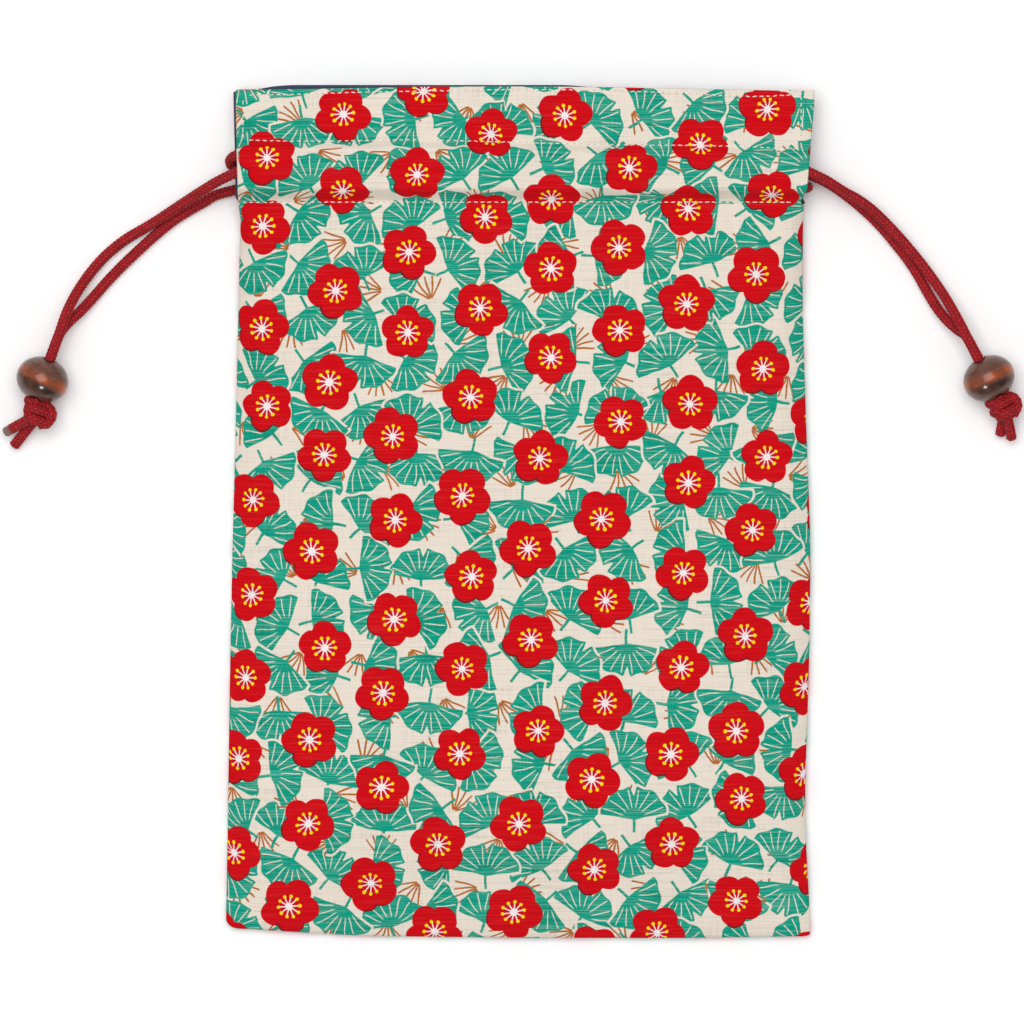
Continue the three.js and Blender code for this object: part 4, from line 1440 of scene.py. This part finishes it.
sprigs = needles(start, print_x, print_y)
low_leaf, low_stalk, low_veins = fan_leaf(start, print_x, print_y, seed=11.0, shift=0.0)
high_leaf, high_stalk, high_veins = fan_leaf(start, print_x, print_y, seed=17.0, shift=0.5)
flower, lean, stamens, anthers = blossom(start, print_x, print_y)

high_mask = inked(high_leaf, high_stalk)
low_mask = inked(low_leaf, low_stalk) * (1 - high_leaf.step(*HALO))
leaves = high_mask.most(low_mask)
veins = (high_veins * high_mask).most(low_veins * low_mask)
flower_mask = inked(flower)
rim = flower.step(0.0, OVERLAP_THIN + lean.most(0.0) * OVERLAP_THICK)
overlap = flower_mask * leaves * (1 - rim)
print("nodes for the motifs:", len(cotton.node_tree.nodes))

# %% Print the cotton
CREAM = paint(230, 219, 204)
SLUB_SKIP, WEFT_SKIP, BLOSSOM_HOLD = 0.13, 0.17, 0.9
WEFT_SHADE, WARP_SHADE = 0.95, 0.4
INKS = (
    (sprigs, paint(176, 100, 32)),
    (leaves, paint(4, 157, 131)),
    (veins, CREAM),
    (flower_mask, paint(205, 7, 20)),
    (overlap, paint(50, 30, 30)),
    (stamens * flower_mask, paint(240, 231, 230)),
    (anthers * flower_mask, paint(247, 216, 18)),
)

ink = CREAM
for mask, colour in INKS:
    ink = mask.mix(ink, colour)
skipped = slub * SLUB_SKIP + weft.step(0.53, 0.66) * WEFT_SKIP
ink = (skipped * (1 - flower_mask * BLOSSOM_HOLD)).mix(ink, CREAM)
# Painted shade in the gaps between the yarns, strongest over the leaves.
painted_gap_shade = ((0.5 - weft) * WEFT_SHADE + (0.5 - warp) * WARP_SHADE).most(0.0)
ink = (painted_gap_shade * (1 + leaves * (1 - flower_mask))).mix(ink, paint(40, 28, 28))
relief = weft * 0.8 + warp * 0.4 + slub * 0.7
wire(cotton_shader, {
    "Base Color": ink,
    "Normal": relief.bump(strength=0.35, depth=0.12),
    "Roughness": 0.94 - slub * 0.08,
    "Specular IOR Level": 0.06,
})
dress(cotton_pieces, cotton)
print("nodes in the print:", len(cotton.node_tree.nodes))

# %% [markdown]
# ## Lining, thread and needle holes
# The lining is the same kind of weave in plain navy. The sewing thread is a twisted
# cream cotton, and the needle holes are pits painted dark with shade.

# %% Plain cottons
navy, navy_shader, start = new_finish("navy_lining_cotton")
_, across, up = flat_cloth(start)
weft, slub, warp = slub_weave(across, up)
tone = weft * 0.6 + warp * 0.4
wire(navy_shader, {
    "Base Color": tone.step(0.25, 0.75).mix(paint(50, 60, 82), paint(76, 88, 110)),
    "Normal": tone.bump(strength=0.3, depth=0.1),
    "Roughness": 0.95 - tone * 0.1,
    "Specular IOR Level": 0.25,
})
dress(lining_pieces, navy)

thread_finish, thread_shader, start = new_finish("cream_sewing_thread")
fuzz = start.place().noise(2600.0, 2.0)
wire(thread_shader, {
    "Base Color": fuzz.step(0.3, 0.7).mix(paint(222, 210, 192), paint(246, 240, 228)),
    "Roughness": 0.7 + fuzz * 0.2,
    "Sheen Weight": 0.1,
})
dress(thread_pieces, thread_finish)

# The needle holes' dark colour is painted shade in the pits.
pit_finish, pit_shader, start = new_finish("needle_hole_shadow")
fuzz = start.place().noise(1500.0, 1.0)
wire(pit_shader, {
    "Base Color": fuzz.mix(paint(64, 52, 50), paint(104, 90, 84)),
    "Roughness": 1.0,
})
dress(hole_pieces, pit_finish)
print("lined, sewn and pierced pieces:", len(lining_pieces), len(thread_pieces), len(hole_pieces))

# %% [markdown]
# ## Dyed braid, with painted light and shade
# The cord is a deep red braid of polyester or cotton. Each yarn took the dye a little
# differently. The crowns of the yarns get painted light, and the gaps between them get
# painted shade that is almost black. The relief noted on the points drives this, so
# colour and shape agree.

# %% Cord finish
braid_finish, braid_shader, start = new_finish("red_braid")
relief, tone, melt = start.note("braid").parts()
fibre = start.place().noise(1900.0, 2.0)
# Painted light on the crowns of the yarns and painted shade in the gaps, from the noted relief,
# mixed with each yarn's own dye tone and the fibre.
crown = relief.step(0.15, 1.0) * (0.5 + tone * 0.5) + (fibre - 0.5) * 0.6
dye_with_painted_light_and_shade = crown.mix(paint(102, 5, 13), paint(198, 26, 35))
wire(braid_shader, {
    "Base Color": melt.mix(dye_with_painted_light_and_shade, paint(128, 104, 98)),
    "Normal": fibre.bump(strength=0.3, depth=0.1),
    "Roughness": 0.82 - melt * 0.3,
    "Specular IOR Level": 0.3,
})
dress(cord_pieces, braid_finish)
print("braided pieces:", len(cord_pieces))

# %% [markdown]
# ## Figured wood under lacquer
# The beads are a dark, glossy wood with a warm band of figure across the middle and a
# darker one below it. Both are wavering slices through the solid, so they run on into
# the bore, and short dark pores lie along the grain. A clear coat gives the sharp spark,
# and the mouth of the bore gets painted shade, dark and dull with no coat.

# %% Bead finish
WARM_SLICE, DARK_SLICE = 0.2, -2.8
SLICE_TILT, SLICE_BEND = 0.1, 4.0
PORES = (900.0, 5200.0, 900.0)
STREAKS = (200.0, 900.0, 200.0)
CLOUDS = 170.0
DARK_DEPTH, PORE_DEPTH = 0.94, 0.35

wood, wood_shader, start = new_finish("lacquered_wood")
place = start.place()
x, y, z = place.parts()
bend = place.noise(150.0, 2.0)
slice_place = y / MM + x / MM * SLICE_TILT + (bend - 0.5) * SLICE_BEND
pores, streak = (
    start.vector(x * grain[0], y * grain[1], z * grain[2]).noise(1.0, detail)
    for grain, detail in ((PORES, 2.0), (STREAKS, 3.0))
)
pores = pores.step(0.5, 0.72)
cloud = start.vector(x * CLOUDS, y * CLOUDS, z * CLOUDS + 3.0).noise(1.0, 1.0)
warm = (1 - abs(slice_place - WARM_SLICE).step(0.2, 2.5)) * (0.35 + cloud.step(0.35, 0.6) * 0.65)
dark = (1 - abs(slice_place - DARK_SLICE).step(0.2, 2.6)) * (1 - cloud.step(0.4, 0.6))
body = streak.step(0.3, 0.7).mix(paint(86, 52, 42), paint(112, 74, 62))
for mask, colour in (
    (warm, paint(176, 78, 16)),
    (dark * DARK_DEPTH, paint(36, 9, 2)),
    (pores * PORE_DEPTH, paint(44, 18, 10)),
):
    body = mask.mix(body, colour)
# Painted shade in the mouth of the bore, which also loses its coat and turns rough.
painted_bore_shade = 1 - (x / (BORE_WIDE * MM)).length(z / (BORE_HIGH * MM)).step(1.15, 1.5)
wire(wood_shader, {
    "Base Color": painted_bore_shade.mix(body, paint(22, 7, 4)),
    "Roughness": 0.3 + pores * 0.12 + painted_bore_shade * 0.4,
    "Coat Weight": 0.6 - painted_bore_shade * 0.6,
    "Specular IOR Level": 0.1,
    "Coat Roughness": 0.12,
})
dress(beads.values(), wood)
print("nodes in the wood:", len(wood.node_tree.nodes))

# %% [markdown]
# ## Pale floor
# The floor of such a picture is seamless white paper. Its own colour is a very pale
# grey, so that little light is thrown back at the pouch, and it counts as white for the
# camera and for reflections. It still takes the shadow of the pouch.

# %% Floor finish
floor_finish, floor_shader, start = new_finish("pale_floor")
grain = start.place().noise(3.0, 2.0)
pale = grain.mix((0.93, 0.93, 0.93, 1), (0.95, 0.95, 0.95, 1))
rays = start.node("ShaderNodeLightPath").socket.node.outputs
seen = Dye(start.tree, rays["Is Camera Ray"])
for kind in ("Is Glossy Ray", "Is Transmission Ray"):
    seen = seen.most(Dye(start.tree, rays[kind]))
wire(floor_shader, {
    "Base Color": seen.mix(pale, (1, 1, 1, 1)),
    "Roughness": 0.9,
    "Specular IOR Level": 0.0,
})
dress([floor], floor_finish)
print("finishes:", len(bpy.data.materials))
